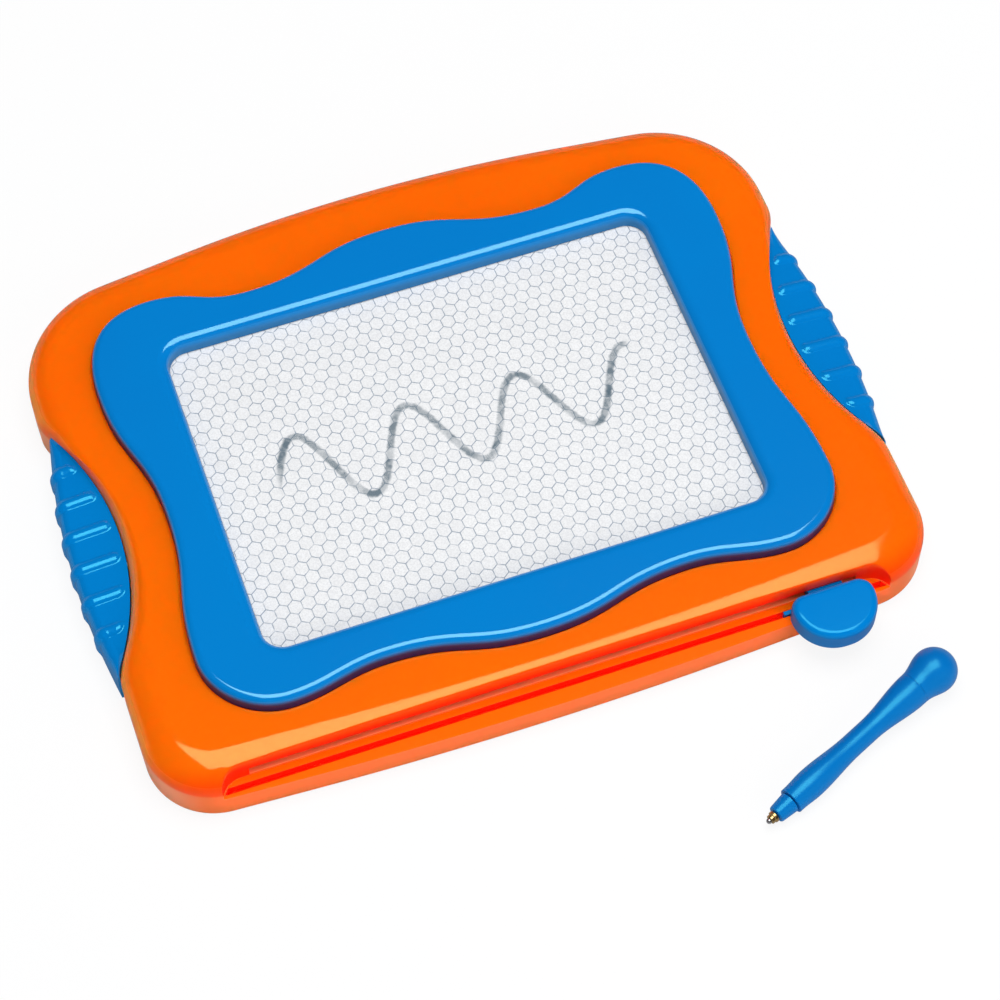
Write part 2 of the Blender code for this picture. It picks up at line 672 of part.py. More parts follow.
def case_screw_places():
    right = [
        (CASE_CORNER_SCREW_X, CASE_FRONT_SCREW_Y),
        (CASE_WAIST_SCREW_X, CASE_WAIST_SCREW_Y),
        (CASE_CORNER_SCREW_X, CASE_BACK_SCREW_Y),
        (CASE_REAR_SCREW_X, CASE_REAR_SCREW_Y),
    ]
    return right + [(-x, y) for x, y in right]


def bezel_screw_places():
    right = [
        (BEZEL_SCREW_X, BEZEL_FRONT_SCREW_Y),
        (BEZEL_SCREW_X, BEZEL_BACK_SCREW_Y),
    ]
    return right + [(-x, y) for x, y in right]


def shoulder_rings(outer, inner, low, high):
    """Rings that curve from an upright outer outline in to a level inner one."""
    return [
        at_height([o.lerp(n, inwards) for o, n in zip(outer, inner)], low + (high - low) * upwards)
        for inwards, upwards in quarter_round(SHOULDER_STEPS)
    ]


def cover_cavity():
    wall = offset(case_outline(), -COVER_WALL)
    roof_edge = offset(crease_outline(), -COVER_WALL)
    rings = shoulder_rings(wall, roof_edge, CAVITY_SHOULDER_Z, COVER_ROOF_Z)
    cavity = loft("cavity", [at_height(wall, -OVERRUN), *rings])
    casing = block(
        "trough_casing",
        (-TROUGH_CASING_HALF_LENGTH, CASE_FRONT_APEX_Y - OVERRUN, TROUGH_CASING_Z),
        (TROUGH_CASING_HALF_LENGTH, TROUGH_BACK_Y + TROUGH_CASING_WALL, LAND_Z + OVERRUN),
    )
    tray = prism(
        "panel_tray",
        panel_outline(PANEL_TRAY_WALL),
        PANEL_TRAY_BOTTOM_Z,
        LAND_Z + OVERRUN * 2,
    )
    return cut(cavity, casing, tray)


def trough_cutters():
    front = CASE_FRONT_APEX_Y - OVERRUN
    half = TROUGH_HALF_LENGTH
    plan = rounded_outline(
        [
            (half, TROUGH_BACK_Y, TROUGH_END_RADIUS, 6),
            (-half, TROUGH_BACK_Y, TROUGH_END_RADIUS, 6),
        ]
        + [(-half, front, TROUGH_END_RADIUS, 1), (half, front, TROUGH_END_RADIUS, 1)]
    )
    trough = prism("trough", plan, TROUGH_FLOOR_Z, LAND_Z + OVERRUN)
    near = GROOVE_MIDDLE_Y - GROOVE_WIDTH / 2
    far = GROOVE_MIDDLE_Y + GROOVE_WIDTH / 2
    near_end = edge_x(plan, near) - GROOVE_END_GAP
    far_end = edge_x(plan, far) - GROOVE_END_GAP
    ends = [(-near_end, near), (near_end, near), (far_end, far), (-far_end, far)]
    groove = prism(
        "groove",
        [Vector(end) for end in ends],
        TROUGH_FLOOR_Z - GROOVE_DEPTH,
        TROUGH_FLOOR_Z + SLOT_SILL,
    )
    slot = block(
        "slot",
        (-SLOT_HALF_LENGTH, TROUGH_BACK_Y - SLOT_SILL, TROUGH_FLOOR_Z + SLOT_SILL),
        (
            SLOT_HALF_LENGTH,
            TROUGH_BACK_Y + TROUGH_CASING_WALL + SLOT_SILL,
            TROUGH_FLOOR_Z + SLOT_SILL + SLOT_HEIGHT,
        ),
    )
    return [trough, groove, slot]


def grip_tab_places():
    middle_y = (GRIP_FRONT_Y + GRIP_BACK_Y) / 2
    return [middle_y + side * TAB_OFFSET_Y for side in (-1, 1)]


def front_cover():
    outer = case_outline()
    rings = shoulder_rings(outer, crease_outline(), SKIRT_TOP_Z, LAND_Z)
    cover = loft(
        "front_cover",
        [at_height(outer, SKIRT_FOOT_Z), *rings],
        orange_plastic("front_cover"),
    )
    cut(cover, cover_cavity())
    boss_z = PAD_TOP_Z + SEAT_GAP
    for i, at in enumerate(case_screw_places(), 1):
        join(cover, prism(f"boss_{i}", circle(BOSS_RADIUS, at), boss_z, LAND_Z - COVER_ROOF / 2))
    for i, at in enumerate(case_screw_places(), 1):
        hole = circle(SCREW_SHANK_RADIUS + SCREW_GAP, at, SCREW_SIDES)
        cut(cover, prism(f"boss_hole_{i}", hole, -OVERRUN, boss_z + BOSS_HOLE_DEPTH))
    for i, at in enumerate(bezel_screw_places(), 1):
        hole = circle(SCREW_SHANK_RADIUS + SEAT_GAP, at, SCREW_SIDES)
        cut(cover, prism(f"land_hole_{i}", hole, boss_z, LAND_Z + OVERRUN))
    seat = offset(bezel_outline(), BEZEL_DRAFT + BEZEL_SEAT_SIDE_GAP)
    cut(
        cover,
        prism("bezel_seat", seat, LAND_Z - BEZEL_SEAT_DEPTH, LAND_Z + OVERRUN),
        prism("panel_recess", panel_outline(SEAT_GAP), PANEL_SHELF_Z, LAND_Z + OVERRUN),
        prism("panel_opening", panel_outline(-PANEL_SHELF), boss_z, LAND_Z + OVERRUN),
        *trough_cutters(),
    )
    for side in (-1, 1):
        for i, y in enumerate(grip_tab_places(), 1):
            inner, outer_x = sorted((side * TAB_INNER_X, side * CASE_HALF_WIDTH))
            notch = block(
                f"tab_notch_{side}_{i}",
                (inner, y - TAB_HALF_WIDTH - SEAT_GAP, TAB_BOTTOM_Z - SEAT_GAP),
                (outer_x, y + TAB_HALF_WIDTH + SEAT_GAP, TAB_BOTTOM_Z + TAB_THICKNESS + SEAT_GAP),
            )
            cut(cover, notch)
    return smoothed(cover)


def rear_cover():
    outline = offset(case_outline(), -COVER_WALL - SEAT_GAP)
    cover = prism("rear_cover", outline, 0, RIM_TOP_Z, orange_plastic("rear_cover"))
    cut(cover, prism("tray", offset(outline, -RIM_WALL), PLATE_THICKNESS, OVERRUN))
    rails = [
        ("back_rail", RAIL_BACK_Y, BAR_BOTTOM_Z),
        ("front_rail", RAIL_FRONT_Y, BAR_BOTTOM_Z),
        ("arm_rail", ARM_RAIL_Y, ARM_BOTTOM_Z),
    ]
    for name, y, carried_z in rails:
        low = (-RAIL_HALF_LENGTH, y - RAIL_WIDTH / 2, PLATE_THICKNESS / 2)
        high = (RAIL_HALF_LENGTH, y + RAIL_WIDTH / 2, carried_z - SEAT_GAP)
        join(cover, block(name, low, high))
    for i, at in enumerate(case_screw_places(), 1):
        join(cover, prism(f"pad_{i}", circle(PAD_RADIUS, at), PLATE_THICKNESS / 2, PAD_TOP_Z))
    well_z = CASE_SCREW_HEAD_Z + SCREW_HEAD_HEIGHT + SEAT_GAP
    for i, at in enumerate(case_screw_places(), 1):
        well = circle(SCREW_HEAD_RADIUS + SEAT_GAP, at)
        hole = circle(SCREW_SHANK_RADIUS + SEAT_GAP, at, SCREW_SIDES)
        cut(cover, prism(f"screw_well_{i}", well, -OVERRUN, well_z))
        cut(cover, prism(f"screw_hole_{i}", hole, -OVERRUN, OVERRUN))
    return smoothed(cover)


def screw(name, at, head_z, length):
    """A round-headed screw driven upwards, its cross recess facing down."""
    shank_z = head_z + SCREW_HEAD_HEIGHT
    rings = [
        (SCREW_HEAD_RADIUS * HEAD_CROWN_SHARE, head_z),
        (SCREW_HEAD_RADIUS, head_z + SCREW_HEAD_HEIGHT * CROWN_RISE_SHARE),
        (SCREW_HEAD_RADIUS, shank_z),
        (SCREW_SHANK_RADIUS, shank_z),
        (SCREW_SHANK_RADIUS, shank_z + length - SCREW_SHANK_RADIUS),
        (SCREW_SHANK_RADIUS * SCREW_POINT_SHARE, shank_z + length),
    ]
    body = loft(
        name,
        [at_height(circle(radius, at, SCREW_SIDES), z) for radius, z in rings],
        steel(name),
    )
    x, y = at
    half = SCREW_DRIVE_WIDTH / 2
    arm = SCREW_HEAD_RADIUS * DRIVE_SHARE
    for i, (half_x, half_y) in enumerate([(arm, half), (half, arm)], 1):
        low = (x - half_x, y - half_y, head_z - SCREW_DRIVE_DEPTH)
        high = (x + half_x, y + half_y, head_z + SCREW_DRIVE_DEPTH)
        cut(body, block(f"{name}_drive_{i}", low, high))
    return smoothed(body)


def case_screws():
    for i, at in enumerate(case_screw_places(), 1):
        screw(f"case_screw_{i}", at, CASE_SCREW_HEAD_Z, CASE_SCREW_LENGTH)


def bezel_screws():
    head_z = COVER_ROOF_Z - SEAT_GAP - SCREW_HEAD_HEIGHT
    for i, at in enumerate(bezel_screw_places(), 1):
        screw(f"bezel_screw_{i}", at, head_z, BEZEL_SCREW_LENGTH)


# Bezel and drawing panel


def bezel():
    outline = bezel_outline()
    foot_z = LAND_Z - BEZEL_SEAT_DEPTH + SEAT_GAP
    edge_z = BEZEL_TOP_Z - BEZEL_EDGE_RADIUS
    rings = [at_height(offset(outline, BEZEL_DRAFT), foot_z)]
    for inwards, upwards in quarter_round(BEZEL_EDGE_STEPS):
        ring = offset(outline, -BEZEL_EDGE_RADIUS * inwards)
        rings.append(at_height(ring, edge_z + BEZEL_EDGE_RADIUS * upwards))
    frame = loft("bezel", rings, blue_plastic("bezel"))

    under_z = foot_z - OVERRUN
    hollow = prism(
        "bezel_hollow", offset(outline, -BEZEL_WALL), under_z, BEZEL_TOP_Z - BEZEL_ROOF
    )
    window_wall = window_outline(BEZEL_WALL)
    cut(hollow, prism("window_wall", window_wall, under_z - OVERRUN, BEZEL_TOP_Z))
    for i, at in enumerate(bezel_screw_places(), 1):
        post = circle(BEZEL_BOSS_RADIUS, at)
        cut(hollow, prism(f"bezel_boss_{i}", post, under_z - OVERRUN, BEZEL_TOP_Z))
    cut(frame, hollow)

    lip_z = BEZEL_TOP_Z - WINDOW_LIP_RADIUS
    panel_z = PANEL_TOP_Z + SEAT_GAP
    rings = [
        at_height(window_outline(-WINDOW_DRAFT), under_z),
        at_height(window_outline(-WINDOW_DRAFT), panel_z),
    ]
    for inwards, upwards in quarter_round(BEZEL_EDGE_STEPS):
        ring = window_outline(WINDOW_LIP_RADIUS * inwards)
        rings.append(at_height(ring, lip_z + WINDOW_LIP_RADIUS * upwards))
    rings.append(at_height(window_outline(WINDOW_LIP_RADIUS), BEZEL_TOP_Z + OVERRUN))
    cut(
        frame,
        loft("window", rings),
        prism("panel_room", panel_outline(SEAT_GAP), under_z, panel_z),
    )
    hole_z = COVER_ROOF_Z + BEZEL_SCREW_LENGTH
    for i, at in enumerate(bezel_screw_places(), 1):
        hole = circle(SCREW_SHANK_RADIUS + SCREW_GAP, at, SCREW_SIDES)
        cut(frame, prism(f"bezel_hole_{i}", hole, under_z, hole_z))
    return smoothed(frame)


def drawing_panel():
    top = PANEL_TOP_Z
    layers = [
        ("screen_front_sheet", FRONT_SHEET_THICKNESS),
        ("honeycomb_core", CORE_THICKNESS),
        ("screen_back_sheet", BACK_SHEET_THICKNESS),
    ]
    for name, thickness in layers:
        smoothed(prism(name, panel_outline(0), top - thickness, top, screen_plastic(name)))
        top -= thickness + LAYER_GAP


# Side grips


def rib_swell(y):
    """How far the ribs raise the grip's surface at a given y."""
    swell = 0
    for i in range(RIB_COUNT):
        away = abs(y - RIB_MIDDLE_Y - RIB_PITCH * (i - (RIB_COUNT - 1) / 2))
        if away < RIB_HALF_WIDTH:
            swell = RIB_HEIGHT * math.sqrt(1 - (away / RIB_HALF_WIDTH) ** 2)
    return swell


def grip_stations():
    """Places along the grip, close together over each rib."""
    stations = [GRIP_FRONT_Y, GRIP_BACK_Y]
    for end, nearest in ((GRIP_FRONT_Y, -1), (GRIP_BACK_Y, 1)):
        rib_y = RIB_MIDDLE_Y + nearest * (RIB_PITCH * (RIB_COUNT - 1) / 2 + RIB_HALF_WIDTH)
        stations += [end + (rib_y - end) * share for share in GRIP_TIP_SHARES]
    for i in range(RIB_COUNT):
        rib_y = RIB_MIDDLE_Y + RIB_PITCH * (i - (RIB_COUNT - 1) / 2)
        stations += [rib_y + RIB_HALF_WIDTH * share for share in RIB_SHARES]
    return sorted(stations)


def grip_section(y, side, case_edge):
    """Cross-section of a grip: floor, rounded outer side, sloping top and inner side."""
    inner = edge_x(case_edge, y)
    half_length = (GRIP_BACK_Y - GRIP_FRONT_Y) / 2
    outer = GRIP_OUTER_X - GRIP_END_SETBACK * ((y - GRIP_OUTER_Y) / half_length) ** 2
    width = max(outer - inner, GRIP_TIP_WIDTH)
    outer = inner + width
    swell = rib_swell(y)
    round_x = min(GRIP_SIDE_RADIUS, width * GRIP_ROUND_SHARE)
    reach = width - round_x
    margin = min(RIB_MARGIN, reach * RIB_MARGIN_SHARE)
    foot_round = round_x * FOOT_ROUND_SHARE
    points = [
        (inner, SKIRT_FOOT_Z),
        (outer - foot_round, SKIRT_FOOT_Z),
        (outer + swell * FOOT_ROUND_SHARE, SKIRT_FOOT_Z + foot_round),
    ]
    side_z = GRIP_TOP_Z - GRIP_SIDE_HEIGHT
    for inwards, upwards in quarter_round(GRIP_SIDE_STEPS):
        x = outer - round_x + (round_x + swell) * (1 - inwards)
        points.append((x, side_z + (GRIP_SIDE_HEIGHT + swell) * upwards))
    rise = GRIP_INNER_TOP_Z - GRIP_TOP_Z
    rib_end = inner + margin * 2
    points += [
        (rib_end, GRIP_TOP_Z + rise * (1 - margin * 2 / reach) + swell),
        (inner + margin, GRIP_TOP_Z + rise * (1 - margin / reach)),
        (inner, GRIP_INNER_TOP_Z),
    ]
    return [Vector((side * x, y, z)) for x, z in points]


def side_grip(name, side):
    case_edge = offset(case_outline(), SEAT_GAP)
    rings = [grip_section(y, side, case_edge) for y in grip_stations()]
    grip = loft(name, rings, blue_plastic(name))
    for i, y in enumerate(grip_tab_places(), 1):
        near, far = sorted((side * (TAB_INNER_X + SEAT_GAP), side * TAB_ROOT_X))
        low = (near, y - TAB_HALF_WIDTH, TAB_BOTTOM_Z)
        high = (far, y + TAB_HALF_WIDTH, TAB_BOTTOM_Z + TAB_THICKNESS)
        join(grip, block(f"{name}_tab_{i}", low, high))
    return smoothed(grip)


# Eraser slider, drawn about its own middle


def eraser_knob():
    outline = rounded_outline(
        [
            (-KNOB_HALF_WIDTH, KNOB_FRONT_Y, KNOB_FRONT_CORNER_RADIUS, 9),
            (KNOB_HALF_WIDTH, KNOB_FRONT_Y, KNOB_FRONT_CORNER_RADIUS, 9),
            (KNOB_HALF_WIDTH, KNOB_BACK_Y, KNOB_BACK_CORNER_RADIUS, 5),
            (-KNOB_HALF_WIDTH, KNOB_BACK_Y, KNOB_BACK_CORNER_RADIUS, 5),
        ]
    )
    edge_z = KNOB_TOP_Z - KNOB_EDGE_RADIUS
    bottom_z = TROUGH_FLOOR_Z + SEAT_GAP
    rings = [at_height(outline, bottom_z)]
    for inwards, upwards in quarter_round(KNOB_EDGE_STEPS):
        ring = offset(outline, -KNOB_EDGE_RADIUS * inwards)
        rings.append(at_height(ring, edge_z + KNOB_EDGE_RADIUS * upwards))
    knob = loft("eraser_knob", rings, blue_plastic("eraser_knob"))
    arm = block(
        "arm",
        (-ARM_HALF_WIDTH, KNOB_BACK_Y - KNOB_EDGE_RADIUS, ARM_BOTTOM_Z),
        (ARM_HALF_WIDTH, BAR_FRONT_Y - SEAT_GAP, ARM_TOP_Z),
    )
    half = GROOVE_WIDTH / 2 - SLIDE_GAP
    tongue = block(
        "tongue",
        (-TONGUE_HALF_LENGTH, GROOVE_MIDDLE_Y - half, TROUGH_FLOOR_Z - TONGUE_DEPTH),
        (TONGUE_HALF_LENGTH, GROOVE_MIDDLE_Y + half, TROUGH_FLOOR_Z + TONGUE_RISE),
    )
    join(knob, arm, tongue)
    hole = circle(SCREW_SHANK_RADIUS + SCREW_GAP, (0, ERASER_SCREW_Y), SCREW_SIDES)
    cut(knob, prism("arm_hole", hole, ARM_BOTTOM_Z - OVERRUN, ARM_TOP_Z - ARM_SKIN))
    return smoothed(knob)


def eraser_bar():
    middle_y = (BAR_FRONT_Y + BAR_BACK_Y) / 2
    half_length = (BAR_BACK_Y - BAR_FRONT_Y) / 2
    outline = rounded_box(BAR_HALF_WIDTH, half_length, BAR_CORNER_RADIUS, (0, middle_y))
    bar = prism("eraser_bar", outline, BAR_BOTTOM_Z, BAR_TOP_Z, blue_plastic("eraser_bar"))
    lap_z = ARM_BOTTOM_Z - SEAT_GAP
    lap = block(
        "lap",
        (-ARM_HALF_WIDTH, LAP_FRONT_Y, lap_z - LAP_THICKNESS),
        (ARM_HALF_WIDTH, BAR_FRONT_Y + LAP_OVERLAP, lap_z),
    )
    join(bar, lap)
    half_magnet = half_length - MAGNET_END_MARGIN + LAYER_GAP
    channel = block(
        "channel",
        (-MAGNET_HALF_WIDTH - LAYER_GAP, middle_y - half_magnet, magnet_bottom_z() - LAYER_GAP),
        (MAGNET_HALF_WIDTH + LAYER_GAP, middle_y + half_magnet, BAR_TOP_Z + OVERRUN),
    )
    hole = circle(SCREW_SHANK_RADIUS + SEAT_GAP, (0, ERASER_SCREW_Y), SCREW_SIDES)
    cut(bar, channel, prism("lap_hole", hole, -OVERRUN, OVERRUN))
    return smoothed(bar)


def magnet_bottom_z():
    return BAR_TOP_Z - MAGNET_THICKNESS - LAYER_GAP


def eraser_magnet():
    strip = block(
        "eraser_magnet",
        (-MAGNET_HALF_WIDTH, BAR_FRONT_Y + MAGNET_END_MARGIN, magnet_bottom_z()),
        (MAGNET_HALF_WIDTH, BAR_BACK_Y - MAGNET_END_MARGIN, magnet_bottom_z() + MAGNET_THICKNESS),
        magnet("eraser_magnet"),
    )
    return strip


def eraser_screw():
    lap_bottom_z = ARM_BOTTOM_Z - SEAT_GAP - LAP_THICKNESS
    head_z = lap_bottom_z - SEAT_GAP - SCREW_HEAD_HEIGHT
    return screw("eraser_screw", (0, ERASER_SCREW_Y), head_z, ERASER_SCREW_LENGTH)


# Pen, drawn along +X from its tip


def turned(name, profile, material=None, sides=PEN_SIDES):
    """A solid turned about the pen's axis through (distance, radius) pairs."""
    rings = []
    for distance, radius in profile:
        rings.append([Vector((distance, p.x, p.y)) for p in circle(radius, sides=sides)])
    return loft(name, rings, material)


def swelling(start, start_radius, end, end_radius, steps):
    """Profile points that ease from one radius to another."""
    points = []
    for i in range(steps + 1):
        share = i / steps
        eased = (1 - math.cos(math.pi * share)) / 2
        radius = start_radius + (end_radius - start_radius) * eased
        points.append((start + (end - start) * share, radius))
    return points


def pen_barrel():
    profile = [
        (PEN_BARREL_FRONT_AT, PEN_BARREL_FRONT_RADIUS),
        *swelling(
            PEN_BARREL_FRONT_AT + PEN_STEP_LENGTH,
            PEN_BARREL_FRONT_RADIUS,
            PEN_BELLY_AT,
            PEN_BELLY_RADIUS,
            3,
        ),
        *swelling(PEN_BELLY_AT, PEN_BELLY_RADIUS, PEN_WAIST_FRONT_AT, PEN_WAIST_RADIUS, 5)[1:],
        *swelling(PEN_WAIST_BACK_AT, PEN_WAIST_RADIUS, PEN_SEAM_AT, PEN_SEAM_RADIUS, 6),
    ]
    barrel = turned("pen_barrel", profile, blue_plastic("pen_barrel"))
    nose_well = [
        (PEN_BARREL_FRONT_AT - OVERRUN, PEN_SPIGOT_RADIUS + SCREW_GAP),
        (PEN_BARREL_FRONT_AT + PEN_SPIGOT_DEPTH + SCREW_GAP, PEN_SPIGOT_RADIUS + SCREW_GAP),
    ]
    magnet_well = [
        (PEN_BARREL_FRONT_AT, PEN_MAGNET_RADIUS + LAYER_GAP),
        (PEN_MAGNET_FRONT_AT + PEN_MAGNET_LENGTH + LAYER_GAP, PEN_MAGNET_RADIUS + LAYER_GAP),
    ]
    bulb_well = [
        (PEN_SEAM_AT - PEN_SPIGOT_DEPTH - SCREW_GAP, PEN_BULB_SPIGOT_RADIUS + SCREW_GAP),
        (PEN_SEAM_AT + OVERRUN, PEN_BULB_SPIGOT_RADIUS + SCREW_GAP),
    ]
    cut(
        barrel,
        turned("nose_well", nose_well),
        turned("magnet_well", magnet_well),
        turned("bulb_well", bulb_well),
    )
    return smoothed(barrel)


def pen_nose():
    back = PEN_BARREL_FRONT_AT + PEN_SPIGOT_DEPTH
    profile = [
        (PEN_NOSE_FRONT_AT, PEN_NOSE_FRONT_RADIUS - PEN_NOSE_CHAMFER),
        (PEN_NOSE_FRONT_AT + PEN_NOSE_CHAMFER, PEN_NOSE_FRONT_RADIUS),
        (PEN_BARREL_FRONT_AT - SEAT_GAP, PEN_NOSE_BACK_RADIUS),
        (PEN_BARREL_FRONT_AT - SEAT_GAP, PEN_SPIGOT_RADIUS),
        (back, PEN_SPIGOT_RADIUS),
    ]
    nose = turned("pen_nose", profile, blue_plastic("pen_nose"))
    bore = [
        (PEN_NOSE_FRONT_AT - OVERRUN, PEN_COLLAR_TIP_RADIUS + SCREW_GAP),
        (PEN_BARREL_FRONT_AT, PEN_COLLAR_TIP_RADIUS + SCREW_GAP),
    ]
    cut(nose, turned("nose_bore", bore))
    return smoothed(nose)


def pen_collar():
    profile = [
        (PEN_COLLAR_FRONT_AT, PEN_COLLAR_TIP_RADIUS),
        (PEN_COLLAR_STEP_AT, PEN_COLLAR_TIP_RADIUS),
        (PEN_COLLAR_STEP_AT, PEN_COLLAR_RADIUS),
        (PEN_NOSE_FRONT_AT - SEAT_GAP, PEN_COLLAR_RADIUS),
        (PEN_NOSE_FRONT_AT - SEAT_GAP, PEN_COLLAR_TIP_RADIUS),
        (PEN_BARREL_FRONT_AT - SEAT_GAP, PEN_COLLAR_TIP_RADIUS),
    ]
    collar = turned("pen_collar", profile, brass("pen_collar"), PEN_TIP_SIDES)
    cup = [
        (-OVERRUN, PEN_BALL_RADIUS + LAYER_GAP),
        (PEN_BALL_RADIUS * 2 + LAYER_GAP, PEN_BALL_RADIUS + LAYER_GAP),
    ]
    cut(collar, turned("ball_cup", cup, sides=PEN_TIP_SIDES))
    return smoothed(collar)


def pen_tip_ball():
    profile = []
    for i in range(1, BALL_STEPS):
        angle = math.pi * i / BALL_STEPS
        profile.append(
            (PEN_BALL_RADIUS * (1 - math.cos(angle)), PEN_BALL_RADIUS * math.sin(angle))
        )
    return smoothed(turned("pen_tip_ball", profile, steel("pen_tip_ball"), PEN_TIP_SIDES))


def pen_magnet():
    profile = [
        (PEN_MAGNET_FRONT_AT, PEN_MAGNET_RADIUS),
        (PEN_MAGNET_FRONT_AT + PEN_MAGNET_LENGTH, PEN_MAGNET_RADIUS),
    ]
    return smoothed(turned("pen_magnet", profile, magnet("pen_magnet"), PEN_TIP_SIDES))


def pen_bulb():
    start = PEN_SEAM_AT + SEAT_GAP
    dome = []
    for inwards, upwards in quarter_round(BULB_STEPS)[1:]:
        radius = PEN_BULB_RADIUS * (1 - inwards)
        dome.append((PEN_BULB_AT + PEN_BULB_RADIUS * upwards, max(radius, PEN_BULB_TIP_RADIUS)))
    profile = [
        (PEN_SEAM_AT - PEN_SPIGOT_DEPTH, PEN_BULB_SPIGOT_RADIUS),
        (start, PEN_BULB_SPIGOT_RADIUS),
        *swelling(start, PEN_SEAM_RADIUS, PEN_BULB_AT, PEN_BULB_RADIUS, 6),
        *dome,
    ]
    return smoothed(turned("pen_bulb", profile, blue_plastic("pen_bulb")))


def pen():
    """The pen lies on the ground on its bulb and its belly."""
    tilt = math.asin((PEN_BULB_RADIUS - PEN_BELLY_RADIUS) / (PEN_BULB_AT - PEN_BELLY_AT))
    tip_z = PEN_BELLY_RADIUS - PEN_BELLY_AT * math.sin(tilt) + LAYER_GAP
    lying = place("pen_place", (PEN_TIP_X, PEN_TIP_Y, tip_z), (0, -tilt, PEN_HEADING))
    pieces = (pen_nose, pen_barrel, pen_bulb, pen_collar, pen_tip_ball, pen_magnet)
    for piece in pieces:
        carry(lying, piece())


def main():
    clear_scene()
    front_cover()
    rear_cover()
    case_screws()
    bezel()
    bezel_screws()
    drawing_panel()
    side_grip("left_grip", -1)
    side_grip("right_grip", 1)
    slider = place("slider_place", (KNOB_MIDDLE_X, 0, 0))
    for piece in (eraser_knob, eraser_bar, eraser_magnet, eraser_screw):
        carry(slider, piece())
    pen()


main()
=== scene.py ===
"""Looks of the magnetic drawing board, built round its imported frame. Metres, +Z up."""

import math

import bmesh
import bpy
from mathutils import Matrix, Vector
from mathutils.bvhtree import BVHTree
from mathutils.geometry import interpolate_bezier


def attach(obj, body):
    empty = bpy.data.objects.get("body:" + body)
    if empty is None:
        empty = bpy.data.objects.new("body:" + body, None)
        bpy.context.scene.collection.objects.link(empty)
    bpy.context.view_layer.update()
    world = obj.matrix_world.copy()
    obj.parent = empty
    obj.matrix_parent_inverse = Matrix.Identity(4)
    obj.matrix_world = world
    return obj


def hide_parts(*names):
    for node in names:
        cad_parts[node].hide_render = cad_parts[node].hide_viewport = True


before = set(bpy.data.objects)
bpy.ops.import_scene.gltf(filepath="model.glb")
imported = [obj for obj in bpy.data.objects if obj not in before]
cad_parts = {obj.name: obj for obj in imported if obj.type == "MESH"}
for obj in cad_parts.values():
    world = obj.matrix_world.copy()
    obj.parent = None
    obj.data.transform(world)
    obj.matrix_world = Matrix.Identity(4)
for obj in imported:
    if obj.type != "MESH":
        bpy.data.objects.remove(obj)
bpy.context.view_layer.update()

# Camera, set where the photograph was taken from
CAMERA_PLACE = (-0.13277, -0.42604, 0.71319)
CAMERA_TURN = (0.541291, 0.006490, -0.339434)
CAMERA_LENS = 101.53
SENSOR_WIDTH = 36
CLIP_START = 0.01

# Clearances, overruns of the cutters and tolerances
SEAT_GAP = 0.0003
SLIDE_GAP = 0.0004
OVERRUN = 0.0100
SKIN = 0.00002
LEVEL_TOLERANCE = 0.00001
WELD_DISTANCE = 0.000004

# Shading
SMOOTH_ANGLE = math.radians(32)
GRIP_SMOOTH_ANGLE = math.radians(50)
PEN_SMOOTH_ANGLE = math.radians(40)
LARGE_FACE_WEIGHT = 80

# Case: heights
LAND_Z = 0.0183
SKIRT_FOOT_Z = 0.0003
SKIRT_TOP_Z = 0.0105
COVER_WALL = 0.0022
COVER_ROOF_Z = 0.0156
CAVITY_SHOULDER_Z = 0.0085
OPENING_FOOT_Z = 0.0043
FOOT_ROUND = 0.0005
FOOT_STEPS = 3
SHOULDER_STEPS = 14
CAVITY_STEPS = 4

# Case: outline corners (x, y, share of the shorter edge, steps), right half
CASE_CORNERS = [
    (0, -0.0958, 0.648, 16),
    (0.1165, -0.0893, 0.445, 24),
    (0.1165, -0.0457, 0.083, 8),
    (0.0927, -0.0021, 0.879, 24),
    (0.1165, 0.0415, 0.083, 8),
    (0.1165, 0.0815, 0.770, 26),
    (0, 0.0953, 0.520, 24),
]
CREASE_CORNERS = [
    (0, -0.0844, 0.705, 16),
    (0.1056, -0.0785, 0.288, 24),
    (0.1063, -0.0460, 0.232, 8),
    (0.0970, -0.0106, 0.638, 24),
    (0.1084, 0.0352, 0.183, 8),
    (0.1084, 0.0710, 0.576, 26),
    (0, 0.0883, 0.700, 24),
]

# Window and panel
WINDOW_HALF = (0.0755, 0.0532)
WINDOW_MIDDLE = (0, -0.0037)
WINDOW_CORNER = 0.0065
WINDOW_LIP = 0.0026
WINDOW_LIP_REACH = 0.0034
WINDOW_DRAFT = 0.0003
WINDOW_CORNER_STEPS = 14
PANEL_MARGIN = 0.0050
PANEL_CORNER = 0.0040
PANEL_CORNER_STEPS = 8
PANEL_TOP_Z = 0.0175
SHEET_THICKNESS = 0.0006
PANEL_SHELF = 0.0035
PANEL_RECESS_Z = 0.0145
PANEL_TRAY_WALL = 0.0012
PANEL_TRAY_Z = 0.0133

# Bezel: turning points of the outline (x, y, heading, share), right half
BEZEL_TOP_Z = 0.0228
BEZEL_SEAT_DEPTH = 0.0010
BEZEL_SEAT_SIDE_GAP = 0.0005
BEZEL_EDGE = 0.0020
BEZEL_EDGE_REACH = 0.0024
BEZEL_DRAFT = 0.0003
BEZEL_STEPS = 22
EDGE_STEPS = 7
BEZEL_TURNS = [
    (0, -0.0763, "right", 0.49),
    (0.0450, -0.0696, "right", 0.40),
    (0.0735, -0.0737, "right", 0.54),
    (0.0952, -0.0523, "away", 0.49),
    (0.0897, -0.0055, "away", 0.49),
    (0.0975, 0.0423, "away", 0.65),
    (0.0748, 0.0685, "left", 0.49),
    (0.0456, 0.0620, "left", 0.49),
    (0, 0.0700, "left", 0.49),
]
HEADINGS = {"right": (1, 0), "away": (0, 1), "left": (-1, 0)}

